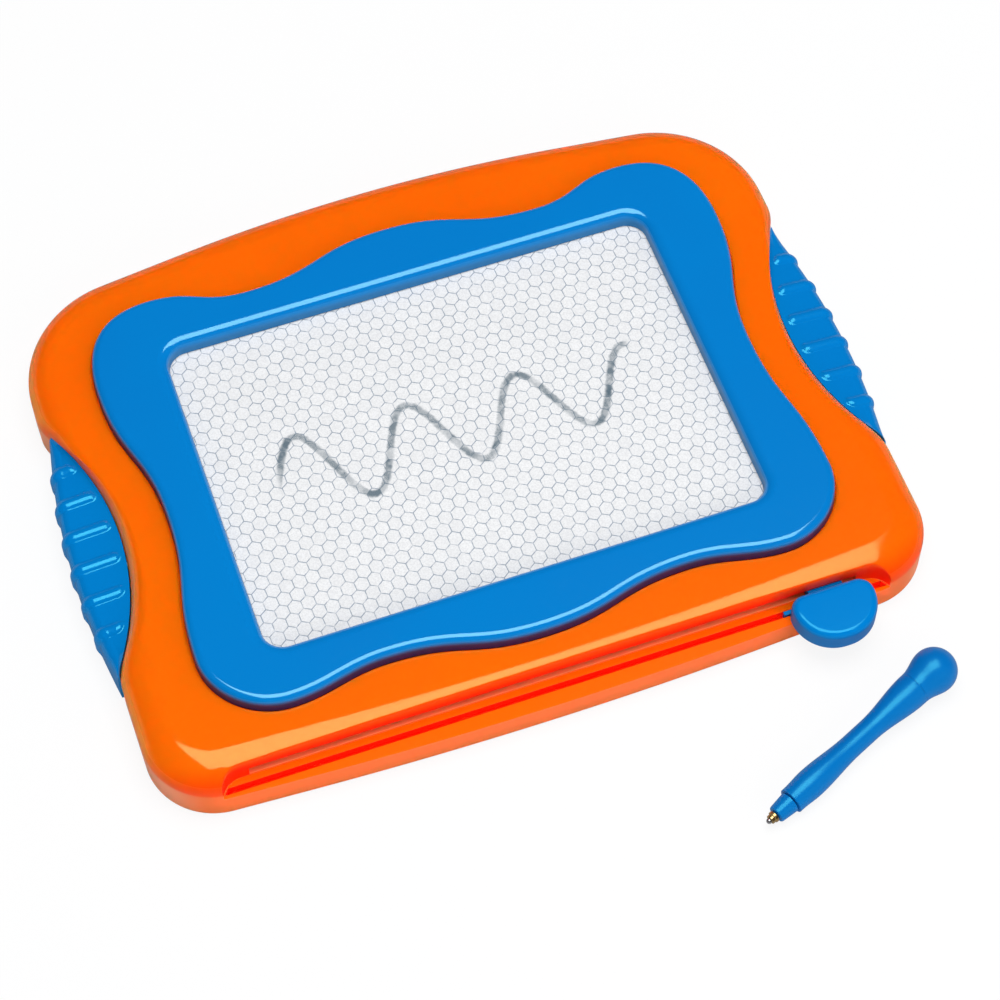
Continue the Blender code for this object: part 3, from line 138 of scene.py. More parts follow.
# Trough
TROUGH_FLOOR_Z = 0.0090
TROUGH_BACK_Y = -0.0854
TROUGH_HALF = 0.0995
TROUGH_END_RADIUS = 0.0065
TROUGH_BACK_STEPS = 40
TROUGH_END_STEPS = 16
TROUGH_PLAN_DEPTH = 3 * TROUGH_END_RADIUS
MOUTH_ROUND = 0.0008
MOUTH_Y = -0.0925
MOUTH_ARC = (180, 262)
MOUTH_STEPS = 6
CASING_DEPTH = 0.0039
CASING_FRONT_Y = -0.1058
CUTTER_FRONT_Y = -0.1250
CUTTER_FLARE = 0.0040
LEDGE_ROUND = 0.0010
LEDGE_STEPS = 4

# Rim of the trough: round on the land and at the skirt, steepest slope that it follows,
# degrees by which its arc stops short of the surface
RIM_LAND = 0.0009
RIM_SKIRT = 0.0005
RIM_SLOPE = 1.2
RIM_SHORT = 4
RIM_STEPS = 9

# Groove and slot
GROOVE_MIDDLE_Y = -0.0883
GROOVE_WIDTH = 0.0020
GROOVE_DEPTH = 0.0026
GROOVE_END_GAP = 0.0002
GROOVE_ROUND = 0.00025
GROOVE_STEPS = 2
SLOT_HALF = 0.0904
SLOT_SILL_Z = 0.0094
SLOT_TOP_Z = 0.0130
SLOT_OVERRUN = 0.0004

# Slider
KNOB_MIDDLE_X = 0.0805
KNOB_HALF = 0.0124
KNOB_BACK_Y = -0.0872
KNOB_FRONT_Y = -0.1039
KNOB_TOP_Z = 0.0163
KNOB_FRONT_CORNER = 0.0119
KNOB_FRONT_STEPS = 40
KNOB_BACK_CORNER = 0.0045
KNOB_BACK_STEPS = 18
KNOB_EDGE = 0.0020
KNOB_EDGE_STEPS = 9
KNOB_CHAMFER = 0.0003
ARM_HALF = 0.0052
ARM_BACK_Y = -0.06035
ARM_BOTTOM_Z = 0.0097
ARM_TOP_Z = 0.0127
TONGUE_HALF = 0.0133
TONGUE_DEPTH = 0.0021
TONGUE_RISE = 0.0005

# Grips
GRIP_GAP = 0.0001
GRIP_OUTER_X = 0.12005
GRIP_OUTER_Y = -0.0095
GRIP_END_SETBACK = 0.0040
GRIP_FRONT_Y = -0.0460
GRIP_BACK_Y = 0.0370
GRIP_TOP_Z = 0.0122
GRIP_INNER_TOP_Z = 0.0132
GRIP_SIDE_RADIUS = 0.0036
GRIP_SIDE_SHARE = 0.7
GRIP_SIDE_HEIGHT = 0.0038
GRIP_FOOT_SHARE = 0.35
GRIP_BEND_SHARE = 0.1
GRIP_LEAST_WIDTH = 0.0004
GRIP_STATIONS = 420
GRIP_FOOT_POINTS = 3
GRIP_SIDE_STEPS = 8
GRIP_ROUND_STEPS = 14
GRIP_TOP_STEPS = 24
RIB_PITCH = 0.0111
RIB_COUNT = 6
RIB_MIDDLE_Y = -0.0029
RIB_HALF = 0.0020
RIB_HEIGHT = 0.00085
RIB_START = 0.0014
RIB_FADE_Z = 0.0012
RIB_FADE_HEIGHT = 0.0030

# Pen: (distance from the tip, radius)
PEN_FRONT = [(0.0092, 0.0036), (0.0094, 0.0039)]
PEN_STEP = (0.0102, 0.0039)
PEN_BELLY = (0.0171, 0.0043)
PEN_WAIST_FRONT = (0.0335, 0.00335)
PEN_WAIST_BACK = (0.0400, 0.00335)
PEN_SEAM = (0.0583, 0.00505)
PEN_SEAM_FRONT = (0.05852, 0.00503)
PEN_SEAM_BACK = (0.05858, 0.00503)
BULB_NECK = (0.0588, 0.00505)
BULB_MIDDLE = (0.0667, 0.0067)
BULB_LEAST = 0.0001
BELLY_STEPS = 12
WAIST_STEPS = 20
SEAM_STEPS = 24
NECK_STEPS = 16
BULB_STEPS = 20
NOSE = [
    (0.0034, 0.0013),
    (0.0034, 0.0021),
    (0.0036, 0.0025),
    (0.0040, 0.00262),
    (0.0088, 0.00315),
    (0.0089, 0.0031),
]
COLLAR = [
    (0.0012, 0.00100),
    (0.0012, 0.00125),
    (0.0013, 0.00135),
    (0.0021, 0.00135),
    (0.0022, 0.00150),
    (0.0023, 0.00170),
    (0.0030, 0.00170),
    (0.0031, 0.00150),
]
BALL_RADIUS = 0.00085
BALL_STEPS = 16
PEN_SIDES = 72
COLLAR_SIDES = 48
BALL_SIDES = 40
PEN_PLACE = (0.03955, -0.14445)
PEN_HEADING = math.radians(23.35)
PEN_LIFT = 0.0001

# Colours
WHITE = (1, 1, 1)
ORANGE = (1.0, 0.145, 0.001)
ORANGE_DEEP = (1.0, 0.120, 0.0005)
# painted shade: redder orange where the case leans to the front; the rear cover also uses it as its
# darker clouding tone
ORANGE_CLOUD_AND_PAINTED_SHADE = (1.0, 0.060, 0.0005)
# painted reflection: lighter orange on steep faces that turn back or sideways
ORANGE_PAINTED_BACK_SHEEN = (1.0, 0.270, 0.015)
# painted reflection of the floor on the skirt, paler still at the skirt's ends
ORANGE_PAINTED_SKIRT_SHEEN = (1.0, 0.175, 0.030)
ORANGE_PAINTED_END_SHEEN = (1.0, 0.330, 0.170)
# painted shade: red in the trough's walls and groove
RED_PAINTED_RECESS_SHADE = (1.0, 0.010, 0.0005)
# painted light: pink on the slot's sill
SLOT_PAINTED_LIGHT = (1.0, 0.30, 0.12)
BLUE = (0.0, 0.215, 0.625)
BLUE_DEEP = (0.0, 0.190, 0.585)
# painted shade: deeper blue on the knob's and the bar's steep sides
BLUE_PAINTED_SIDE_SHADE = (0.0, 0.155, 0.500)
# painted shade: darker blue at the foot of the window's walls
BLUE_PAINTED_FOOT_SHADE = (0.0, 0.125, 0.380)
# painted shade: navy at the foot of the bezel's outer wall
NAVY_PAINTED_SHADE = (0.010, 0.008, 0.100)
PEN_BLUE = (0, 0.165, 0.53)
PEN_BLUE_DEEP = (0, 0.14, 0.48)
PANEL_WHITE = (0.76, 0.77, 0.80)
PANEL_WHITE_DEEP = (0.70, 0.71, 0.75)
FERRITE = (0.03, 0.03, 0.035)
FERRITE_DEEP = (0.02, 0.02, 0.022)
BRASS = (0.75, 0.50, 0.20)
STEEL = (0.62, 0.63, 0.64)
MILK = (0.88, 0.885, 0.89)
MILK_SPECK = (0.76, 0.765, 0.775)
MILK_CELL = (0.66, 0.67, 0.69)
CELL_WALL = (0.09, 0.16, 0.25)
DRAWN_LINE = (0.09, 0.14, 0.18)

# Tints of the highlights
AMBER = (1, 0.95, 0.35)
AQUA = (0.15, 1, 1)
PALE_BLUE = (0.45, 1, 1)

# Painted light and shade: how far a surface faces the front (lean), up (steep), back or
# sideways where a painted tone starts and where it is full
FRONT_SHADE_LEAN = (0.20, 0.85)
BACK_SHEEN_STEEP = (0.85, 0.45)
BACK_SHEEN_FACING = (-0.35, 0.05)
SKIRT_SHEEN_STEEP = (0.50, 0.15)
SKIRT_SHEEN_SIDEWAYS = (0.35, 0.90)
RECESS_SHADE_STEEP = (0.62, 0.30)
KNOB_SHADE_STEEP = (0.70, 0.10)
ROUGH_STEEP = (0.80, 0.45)
ROUGH_WALLS = 0.30

# Painted light and shade: heights and distances where they start and are full
SKIRT_SHEEN_Z = (SKIRT_TOP_Z + 0.0012, SKIRT_TOP_Z - 0.0004)
RECESS_SHADE_Z = (SLOT_TOP_Z + 0.0030, SLOT_TOP_Z + 0.0012)
RECESS_FRONT_Y = GROOVE_MIDDLE_Y - 0.0015
RECESS_SLACK = 0.0002
SLOT_SLACK = 0.0001
OUTER_SHADE_Z = (BEZEL_TOP_Z - 0.0030, BEZEL_TOP_Z - 0.0008)
INNER_SHADE_Z = (BEZEL_TOP_Z - 0.0040, BEZEL_TOP_Z - 0.0012)
INNER_SHADE_SHARE = 0.95
INNER_SHADE_REACH = 0.0050

# Noises: (scale, detail)
CLOUD = (14, 3)
PEEL = (700, 2)
SCRATCH = (70, 1)
WANDER = (90, 1)
SPECK = (2600, 2)
BREAKS = (700, 1)
FUZZ = (900, 2)
BLOTS = (420, 2)
GRAIN = (700, 2)
NOISE_MIDDLE = 0.5

# Moulded plastic: what the clouds, the orange-peel and the scratches change
CLOUD_LIMITS = (0.3, 0.7)
CLOUD_SHARE = 0.6
GLOSS_LIMITS = (0.25, 0.75)
GLOSS_SPREAD = (0.02, 0.03)
SCRATCH_HEADINGS = (0.45, -1.1)
SCRATCH_SQUEEZE = (50, 15)
SCRATCH_LIMITS = (0.71, 0.75)
SCRATCH_ROUGHNESS = 0.05
SCRATCH_HEIGHT = 0.08
PEEL_HEIGHT = 0.5
MARK_DEPTH = 0.00001
MARK_STRENGTH = 0.5

# Light that spreads inside the orange plastic
GLOW_WEIGHT = 0.85
GLOW_RADIUS = (1.0, 0.10, 0.04)
GLOW_REACH = 0.009

# Drawing cells, and a shift that keeps their places positive
CELL_PITCH = 0.00429
CELL_SQUEEZE = 0.93
CELL_TURN = math.radians(2.8)
CELL_SHIFT = 200
CELL_SNAP = (0.01, 0.01, 0.01)
CELL_SHADE = 0.25
WANDER_REACH = 0.16
WALL_FADE = (0.016, 0.052)
WALL_SHARE = 0.75
WALL_HEIGHT = -0.4
BREAK_LIMITS = (0.30, 0.60)
BREAK_SHARES = (0.45, 1.0)
SPECK_LIMITS = (0.35, 0.65)
SPECK_HEIGHT = 0.2
SCREEN_GLOSS_LIMITS = (0.2, 0.8)
SCREEN_ROUGHNESS = (0.30, 0.42)
SCREEN_DEPTH = 0.00005
SCREEN_STRENGTH = 0.5

# Drawn line
WAVE_LENGTH = 0.0340
WAVE_HALF = 0.0560
WAVE_MIDDLE_Y = -0.0030
WAVE_RISES = (0.0135, 0.0115)
LINE_FADE = (0.0006, 0.0015)
LINE_FUZZ = 0.0008
LINE_END_FADE = (0.054, 0.057)
CELL_BLOT_LIMITS = (0.1, 0.9)
CELL_BLOT_SHARES = (0.45, 1.0)
BLOT_LIMITS = (0.3, 0.6)
BLOT_SHARES = (0.6, 1.0)

# Metal
GRAIN_STRETCH = (1, 1, 6)
GRAIN_LIMITS = (0.3, 0.7)
GRAIN_SHADE = 0.75
GRAIN_ROUGHNESS = 0.12
GRAIN_DEPTH = 0.00002
GRAIN_STRENGTH = 0.6

# Studio: the floor glows for the camera, is see-through where the part touches it, and
# the world shows a bright horizon behind the part in reflections only
FLOOR_HALF = 1.6
FLOOR_DROP = 0.00005
FLOOR_GLOW_SHARE = 0.88
FLOOR_ROUGHNESS = 0.7
FLOOR_COLOUR = (0.92, 0.92, 0.93)
FLOOR_MIRRORED = (0.36, 0.36, 0.37)
CONTACT_GAP = 0.0010
WORLD_COLOUR = (0.96, 0.97, 1.0)
WORLD_STRENGTH = 0.24
HORIZON_RISE = (0.02, 0.16)
HORIZON_DEPTH = (0.10, 0.50)
HORIZON_STRENGTH = 0.60
MIRRORED_LEAST = 0.04


# Outlines


def fillet(before, corner, after, radius, steps):
    corner = Vector(corner)
    to_before = (Vector(before) - corner).normalized()
    to_after = (Vector(after) - corner).normalized()
    half_angle = to_before.angle(to_after) / 2
    reach = radius / math.tan(half_angle)
    centre = corner + (to_before + to_after).normalized() * (radius / math.sin(half_angle))
    start = corner + to_before * reach - centre
    end = corner + to_after * reach - centre
    first = math.atan2(start.y, start.x)
    sweep = math.remainder(math.atan2(end.y, end.x) - first, math.tau)
    angles = [first + sweep * i / steps for i in range(steps + 1)]
    return [centre + Vector((math.cos(a), math.sin(a))) * radius for a in angles]


def eased_outline(right):
    corners = right + [(-x, *rest) for x, *rest in reversed(right) if x > 0]
    points = []
    for i, (x, y, share, steps) in enumerate(corners):
        before = Vector(corners[i - 1][:2])
        after = Vector(corners[(i + 1) % len(corners)][:2])
        edges = [before - Vector((x, y)), after - Vector((x, y))]
        reach = share * min(edge.length for edge in edges)
        radius = reach * math.tan(edges[0].angle(edges[1]) / 2)
        points += fillet(before, (x, y), after, radius, steps)
    return points


def rounded_outline(corners):
    points = []
    for i, (x, y, radius, steps) in enumerate(corners):
        before = corners[i - 1][:2]
        after = corners[(i + 1) % len(corners)][:2]
        points += fillet(before, (x, y), after, radius, steps)
    return points


def rounded_box(half, radius, middle, steps):
    (hx, hy), (x, y) = half, middle
    return rounded_outline(
        [
            (x - hx, y - hy, radius, steps),
            (x + hx, y - hy, radius, steps),
            (x + hx, y + hy, radius, steps),
            (x - hx, y + hy, radius, steps),
        ]
    )


def offset(outline, distance):
    moved = []
    for i, point in enumerate(outline):
        before = (point - outline[i - 1]).normalized()
        after = (outline[(i + 1) % len(outline)] - point).normalized()
        along = (before + after).normalized()
        moved.append(point + Vector((along.y, -along.x)) * (distance / before.dot(along)))
    return moved


def wave_outline(turns, steps):
    held = [(Vector((x, y)), Vector(HEADINGS[way]), share) for x, y, way, share in turns]
    points = []
    for (start, start_way, share), (end, end_way, _) in zip(held, held[1:]):
        lead = start + start_way * (share * abs((end - start).dot(start_way)))
        trail = end - end_way * (share * abs((end - start).dot(end_way)))
        points += interpolate_bezier(start, lead, trail, end, steps + 1)[:-1]
    back = [Vector((-point.x, point.y)) for point in reversed(points[1:])]
    return points + [held[-1][0]] + back


def window_outline(outwards):
    half = (WINDOW_HALF[0] + outwards, WINDOW_HALF[1] + outwards)
    return rounded_box(half, WINDOW_CORNER + outwards, WINDOW_MIDDLE, WINDOW_CORNER_STEPS)


def panel_outline(outwards):
    grown = PANEL_MARGIN + outwards
    half = (WINDOW_HALF[0] + grown, WINDOW_HALF[1] + grown)
    return rounded_box(half, PANEL_CORNER, WINDOW_MIDDLE, PANEL_CORNER_STEPS)


def edge_x(outline, y):
    """Where the right side of an outline crosses y."""
    for low, high in zip(outline, outline[1:]):
        if low.x > 0 and low.y <= y <= high.y:
            return low.x + (high.x - low.x) * (y - low.y) / (high.y - low.y)
    return 0


def quarter_round(steps):
    """Shares inwards and upwards along a quarter of a circle."""
    angles = [math.pi / 2 * i / steps for i in range(steps + 1)]
    return [(1 - math.cos(angle), math.sin(angle)) for angle in angles]


# Meshes


def at_height(outline, z):
    return [Vector((p.x, p.y, z)) for p in outline]


def mesh_object(name, bm):
    mesh = bpy.data.meshes.new(name)
    bm.to_mesh(mesh)
    bm.free()
    obj = bpy.data.objects.new(name, mesh)
    bpy.context.scene.collection.objects.link(obj)
    return obj


def loft(name, rings):
    """Closed solid through rings of equal length, capped at both ends."""
    bm = bmesh.new()
    loops = [[bm.verts.new(point) for point in ring] for ring in rings]
    count = len(loops[0])
    for low, high in zip(loops, loops[1:]):
        for i in range(count):
            j = (i + 1) % count
            bm.faces.new((low[i], low[j], high[j], high[i]))
    bm.faces.new(reversed(loops[0]))
    bm.faces.new(loops[-1])
    bmesh.ops.recalc_face_normals(bm, faces=bm.faces)
    return mesh_object(name, bm)


def prism(name, outline, bottom, top):
    return loft(name, [at_height(outline, bottom), at_height(outline, top)])


def block(name, low, high):
    outline = [
        Vector((low[0], low[1])),
        Vector((high[0], low[1])),
        Vector((high[0], high[1])),
        Vector((low[0], high[1])),
    ]
    return prism(name, outline, low[2], high[2])


def combine(obj, others, operation):
    """Booleans applied one after another; the other solids are used up."""
    for other in others:
        modifier = obj.modifiers.new(operation.lower(), "BOOLEAN")
        modifier.operation = operation
        modifier.solver = "EXACT"
        modifier.object = other
    bpy.context.view_layer.update()
    evaluated = obj.evaluated_get(bpy.context.evaluated_depsgraph_get())
    made = bpy.data.meshes.new_from_object(evaluated)
    obj.modifiers.clear()
    old = obj.data
    obj.data = made
    made.name = obj.name
    bpy.data.meshes.remove(old)
    for other in others:
        bpy.data.objects.remove(other, do_unlink=True)
    return obj


def cut(obj, *others):
    return combine(obj, others, "DIFFERENCE")


def join(obj, *others):
    return combine(obj, others, "UNION")


def soften(obj, chosen, width, segments):
    """Rounds the edges that the chooser picks."""
    bm = bmesh.new()
    bm.from_mesh(obj.data)
    bmesh.ops.remove_doubles(bm, verts=bm.verts, dist=WELD_DISTANCE)
    edges = [e for e in bm.edges if e.calc_length() > 0 and chosen(*(v.co for v in e.verts), e)]
    bmesh.ops.bevel(
        bm,
        geom=edges,
        offset=width,
        segments=segments,
        profile=0.5,
        affect="EDGES",
        clamp_overlap=True,
    )
    bm.to_mesh(obj.data)
    bm.free()


def shaded(obj, angle=SMOOTH_ANGLE):
    """Smooth surfaces with crisp edges, weighted so that flat faces stay flat."""
    obj.data.shade_smooth()
    obj.data.set_sharp_from_angle(angle=angle)
    weighted = obj.modifiers.new("weighted", "WEIGHTED_NORMAL")
    weighted.keep_sharp = True
    weighted.weight = LARGE_FACE_WEIGHT


def finish(obj, material, body, node):
    obj.data.materials.clear()
    obj.data.materials.append(material)
    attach(obj, body)
    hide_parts(node)


# Materials


class Nodes:
    """A short way to write the nodes of a material or of the world."""

    def __init__(self, owner):
        owner.use_nodes = True
        self.owner = owner
        self.tree = owner.node_tree
        self.shader = self.tree.nodes.get("Principled BSDF")
        places = self.add("ShaderNodeTexCoord").outputs
        self.object = places["Object"]
        self.normal = places["Normal"]
        self.generated = places["Generated"]

    def add(self, kind, **settings):
        node = self.tree.nodes.new(kind)
        for name, value in settings.items():
            setattr(node, name, value)
        return node

    def set(self, socket, value):
        """Links another node's output, or sets a number, a vector or an opaque colour."""
        if isinstance(value, bpy.types.NodeSocket):
            self.tree.links.new(value, socket)
        elif socket.type == "RGBA":
            socket.default_value = (*value, 1)
        else:
            socket.default_value = value

    def fill(self, node, values):
        for socket, value in zip(node.inputs, values):
            self.set(socket, value)
        return node.outputs[0]

    def math(self, operation, a, b=0.0, c=0.0):
        return self.fill(self.add("ShaderNodeMath", operation=operation), (a, b, c))

    def product(self, *values):
        made = values[0]
        for value in values[1:]:
            made = self.math("MULTIPLY", made, value)
        return made

    def vector(self, operation, a, b=(0, 0, 0), scale=1.0):
        node = self.add("ShaderNodeVectorMath", operation=operation)
        self.set(node.inputs[0], a)
        self.set(node.inputs[1], b)
        if operation == "SCALE":
            self.set(node.inputs["Scale"], scale)
        return node.outputs["Value" if operation in ("DOT_PRODUCT", "LENGTH") else "Vector"]

    def parts(self, vector):
        node = self.add("ShaderNodeSeparateXYZ")
        self.set(node.inputs[0], vector)
        return node.outputs

    def joined(self, x, y, z=0.0):
        return self.fill(self.add("ShaderNodeCombineXYZ"), (x, y, z))

    def noise(self, scale, detail, vector=None, output="Fac"):
        node = self.add("ShaderNodeTexNoise")
        self.set(node.inputs["Vector"], vector or self.object)
        self.set(node.inputs["Scale"], scale)
        self.set(node.inputs["Detail"], detail)
        return node.outputs[output]

    def ramp(self, value, low, high, out_low=0.0, out_high=1.0, smooth=True):
        kind = "SMOOTHSTEP" if smooth else "LINEAR"
        node = self.add("ShaderNodeMapRange", interpolation_type=kind)
        return self.fill(node, (value, low, high, out_low, out_high))

    def mix(self, share, a, b, kind="RGBA"):
        node = self.add("ShaderNodeMix", data_type=kind)
        self.set(node.inputs["Factor"], share)
        self.set(node.inputs["A"], a)
        self.set(node.inputs["B"], b)
        return node.outputs["Result"]

    def blend(self, share, a, b):
        return self.fill(self.add("ShaderNodeMixShader"), (share, a, b))

    def bump(self, height, distance, strength):
        node = self.add("ShaderNodeBump")
        self.set(node.inputs["Height"], height)
        self.set(node.inputs["Strength"], strength)
        self.set(node.inputs["Distance"], distance)
        self.set(self.shader.inputs["Normal"], node.outputs["Normal"])

    def base(self, colour, roughness, **others):
        self.set(self.shader.inputs["Base Color"], colour)
        self.set(self.shader.inputs["Roughness"], roughness)
        for name, value in others.items():
            self.set(self.shader.inputs[name.replace("_", " ")], value)
        return self.owner


def new_material(name):
    return Nodes(bpy.data.materials.new(name))


def hairlines(n, heading):
    """Short fine scratches that run one way."""
    squeeze, lean = SCRATCH_SQUEEZE
    along = (math.cos(heading), math.sin(heading), 0)
    across = (-math.sin(heading) * squeeze, math.cos(heading) * squeeze, lean)
    place = n.joined(
        n.vector("DOT_PRODUCT", n.object, along), n.vector("DOT_PRODUCT", n.object, across)
    )
    return n.ramp(n.noise(*SCRATCH, place), *SCRATCH_LIMITS)


def moulded(
    name, colour, deep, roughness, specular=0.5, tint=WHITE, tone=None, walls=ROUGH_WALLS
):
    """Glossy injection-moulded plastic: faint flow clouding, fine orange-peel and
    hairline scratches. Steep walls are rougher by the last value."""
    n = new_material(name)
    upwards = n.parts(n.normal)[2]
    cloud = n.noise(*CLOUD)
    scratch = n.math("MAXIMUM", *(hairlines(n, heading) for heading in SCRATCH_HEADINGS))
    shade = n.mix(n.ramp(cloud, *CLOUD_LIMITS, 0, CLOUD_SHARE), colour, deep)
    # a tone, where given, paints light and shade into the colour
    shade = tone(n, shade) if tone else shade
    less, more = GLOSS_SPREAD
    gloss = n.ramp(cloud, *GLOSS_LIMITS, roughness - less, roughness + more)
    gloss = n.math("ADD", gloss, n.math("MULTIPLY", scratch, SCRATCH_ROUGHNESS))
    gloss = n.math("ADD", gloss, n.ramp(upwards, *ROUGH_STEEP, 0, walls))
    peel = n.math("MULTIPLY", n.noise(*PEEL), PEEL_HEIGHT)
    height = n.math("SUBTRACT", peel, n.math("MULTIPLY", scratch, SCRATCH_HEIGHT))
    n.bump(height, MARK_DEPTH, MARK_STRENGTH)
    return n.base(shade, gloss, Specular_IOR_Level=specular, Specular_Tint=tint)


def case_painted_light(n, shade):
    """Painted light and shade in the orange: painted shade makes it redder where it leans to the
    front and a painted reflection lighter on the steep back. The skirt carries a painted
    reflection, paler at its ends; painted shade makes the trough's walls red and painted light
    makes the slot's pink."""
    across, deep, upwards = n.parts(n.normal)
    x, y, z = n.parts(n.object)
    aside = n.math("ABSOLUTE", x)

    # painted shade: redder where the surface leans to the front
    shade = n.mix(n.ramp(n.math("MULTIPLY", deep, -1), *FRONT_SHADE_LEAN), shade, ORANGE_CLOUD_AND_PAINTED_SHADE)
    # painted reflection: lighter on steep surfaces facing back and sideways
    rim = n.product(n.ramp(upwards, *BACK_SHEEN_STEEP), n.ramp(deep, *BACK_SHEEN_FACING))
    shade = n.mix(rim, shade, ORANGE_PAINTED_BACK_SHEEN)
    # painted reflection of the floor on the skirt, paler where it faces sideways
    sideways = n.ramp(n.math("ABSOLUTE", across), *SKIRT_SHEEN_SIDEWAYS)
    skirt = n.product(n.ramp(upwards, *SKIRT_SHEEN_STEEP), n.ramp(z, *SKIRT_SHEEN_Z))
    shade = n.mix(skirt, shade, n.mix(sideways, ORANGE_PAINTED_SKIRT_SHEEN, ORANGE_PAINTED_END_SHEEN))

    # painted shade: the trough's walls and the groove turn red
    corner = n.joined(
        n.math("MAXIMUM", n.math("SUBTRACT", aside, TROUGH_HALF - TROUGH_END_RADIUS), 0),
        n.math("MAXIMUM", n.math("SUBTRACT", y, TROUGH_BACK_Y - TROUGH_END_RADIUS), 0),
    )
    off_floor = n.math("ABSOLUTE", n.math("SUBTRACT", z, TROUGH_FLOOR_Z))
    wall = n.product(n.ramp(upwards, *RECESS_SHADE_STEEP), n.ramp(z, *RECESS_SHADE_Z))
    groove = n.math("LESS_THAN", z, TROUGH_FLOOR_Z - RECESS_SLACK)
    recess = n.product(
        n.math("MAXIMUM", wall, groove),
        n.math("LESS_THAN", n.vector("LENGTH", corner), TROUGH_END_RADIUS + RECESS_SLACK),
        n.math("GREATER_THAN", y, RECESS_FRONT_Y),
        n.math("GREATER_THAN", off_floor, RECESS_SLACK),
    )
    shade = n.mix(recess, shade, RED_PAINTED_RECESS_SHADE)

    # painted light: the slot's sill turns pink
    slot = n.product(
        n.math("LESS_THAN", z, SLOT_TOP_Z + SLOT_SLACK),
        n.math("GREATER_THAN", y, TROUGH_BACK_Y + SLOT_SLACK),
        n.math("LESS_THAN", y, TROUGH_BACK_Y + 2 * COVER_WALL),
        n.math("LESS_THAN", aside, SLOT_HALF + SLOT_SLACK),
    )
    return n.mix(slot, shade, SLOT_PAINTED_LIGHT)


def bezel_painted_shade(n, shade):
    """Painted shade: the rim's walls darken towards their foot, the outer one to navy."""
    x, y, z = n.parts(n.object)
    from_middle = n.math("ABSOLUTE", n.math("SUBTRACT", y, WINDOW_MIDDLE[1]))
    wide = n.math("SUBTRACT", n.math("ABSOLUTE", x), WINDOW_HALF[0])
    deep = n.math("SUBTRACT", from_middle, WINDOW_HALF[1])
    outside = n.math("GREATER_THAN", n.math("MAXIMUM", wide, deep), INNER_SHADE_REACH)
    inside = n.math("SUBTRACT", 1, outside)
    inner = n.ramp(z, *INNER_SHADE_Z, INNER_SHADE_SHARE, 0)
    outer = n.ramp(z, *OUTER_SHADE_Z, 1, 0)
    shade = n.mix(n.product(inner, inside), shade, BLUE_PAINTED_FOOT_SHADE)
    return n.mix(n.product(outside, outer), shade, NAVY_PAINTED_SHADE)


def side_painted_shade(n, shade):
    """Painted shade: the knob's and the bar's steep sides are a deeper blue than their tops."""
    return n.mix(n.ramp(n.parts(n.normal)[2], *KNOB_SHADE_STEEP), shade, BLUE_PAINTED_SIDE_SHADE)


def translucent(material):
    """Lets red light spread inside the plastic, so that recesses glow."""
    shader = material.node_tree.nodes["Principled BSDF"]
    shader.subsurface_method = "BURLEY"
    shader.inputs["Subsurface Weight"].default_value = GLOW_WEIGHT
    shader.inputs["Subsurface Radius"].default_value = GLOW_RADIUS
    shader.inputs["Subsurface Scale"].default_value = GLOW_REACH


def cell_grid(n):
    """Place on the sheet in cells, turned a little and gently wandering."""
    x, y, _ = n.parts(n.object)
    cos, sin = math.cos(CELL_TURN), math.sin(CELL_TURN)
    across = n.math("ADD", n.math("MULTIPLY", x, cos), n.math("MULTIPLY", y, sin))
    along = n.math("SUBTRACT", n.math("MULTIPLY", y, cos), n.math("MULTIPLY", x, sin))
    grid = n.joined(
        n.math("DIVIDE", across, CELL_PITCH * CELL_SQUEEZE), n.math("DIVIDE", along, CELL_PITCH)
    )
    wander = n.noise(*WANDER, output="Color")
    wander = n.vector("SUBTRACT", wander, (NOISE_MIDDLE,) * 3)
    wander = n.vector("SCALE", wander, scale=WANDER_REACH)
    return n.vector("ADD", grid, n.vector("MULTIPLY", wander, (1, 1, 0)))


def cells(n):
    """How far a point is from the wall of its six-sided cell, and the cell's own value."""
    grid = cell_grid(n)
    root = math.sqrt(3)

    def from_middle(x, y):
        place = n.vector("ADD", grid, (CELL_SHIFT + x, CELL_SHIFT * root + y, 0))
        place = n.vector("MODULO", place, (1, root, 1))
        return n.vector("SUBTRACT", place, (0.5, root / 2, 0))

    first = from_middle(0, 0)
    second = from_middle(0.5, root / 2)
    nearer = n.math(
        "LESS_THAN",
        n.vector("DOT_PRODUCT", first, first),
        n.vector("DOT_PRODUCT", second, second),
    )
    local = n.mix(nearer, second, first, "VECTOR")
    x, y, _ = n.parts(n.vector("ABSOLUTE", local))
    slanted = n.math("ADD", n.math("MULTIPLY", x, 0.5), n.math("MULTIPLY", y, root / 2))
    edge = n.math("SUBTRACT", 0.5, n.math("MAXIMUM", x, slanted))
    own = n.add("ShaderNodeTexWhiteNoise", noise_dimensions="2D")
    cell = n.vector("SNAP", n.vector("SUBTRACT", grid, local), CELL_SNAP)
    n.set(own.inputs["Vector"], cell)
    return edge, own.outputs["Value"]


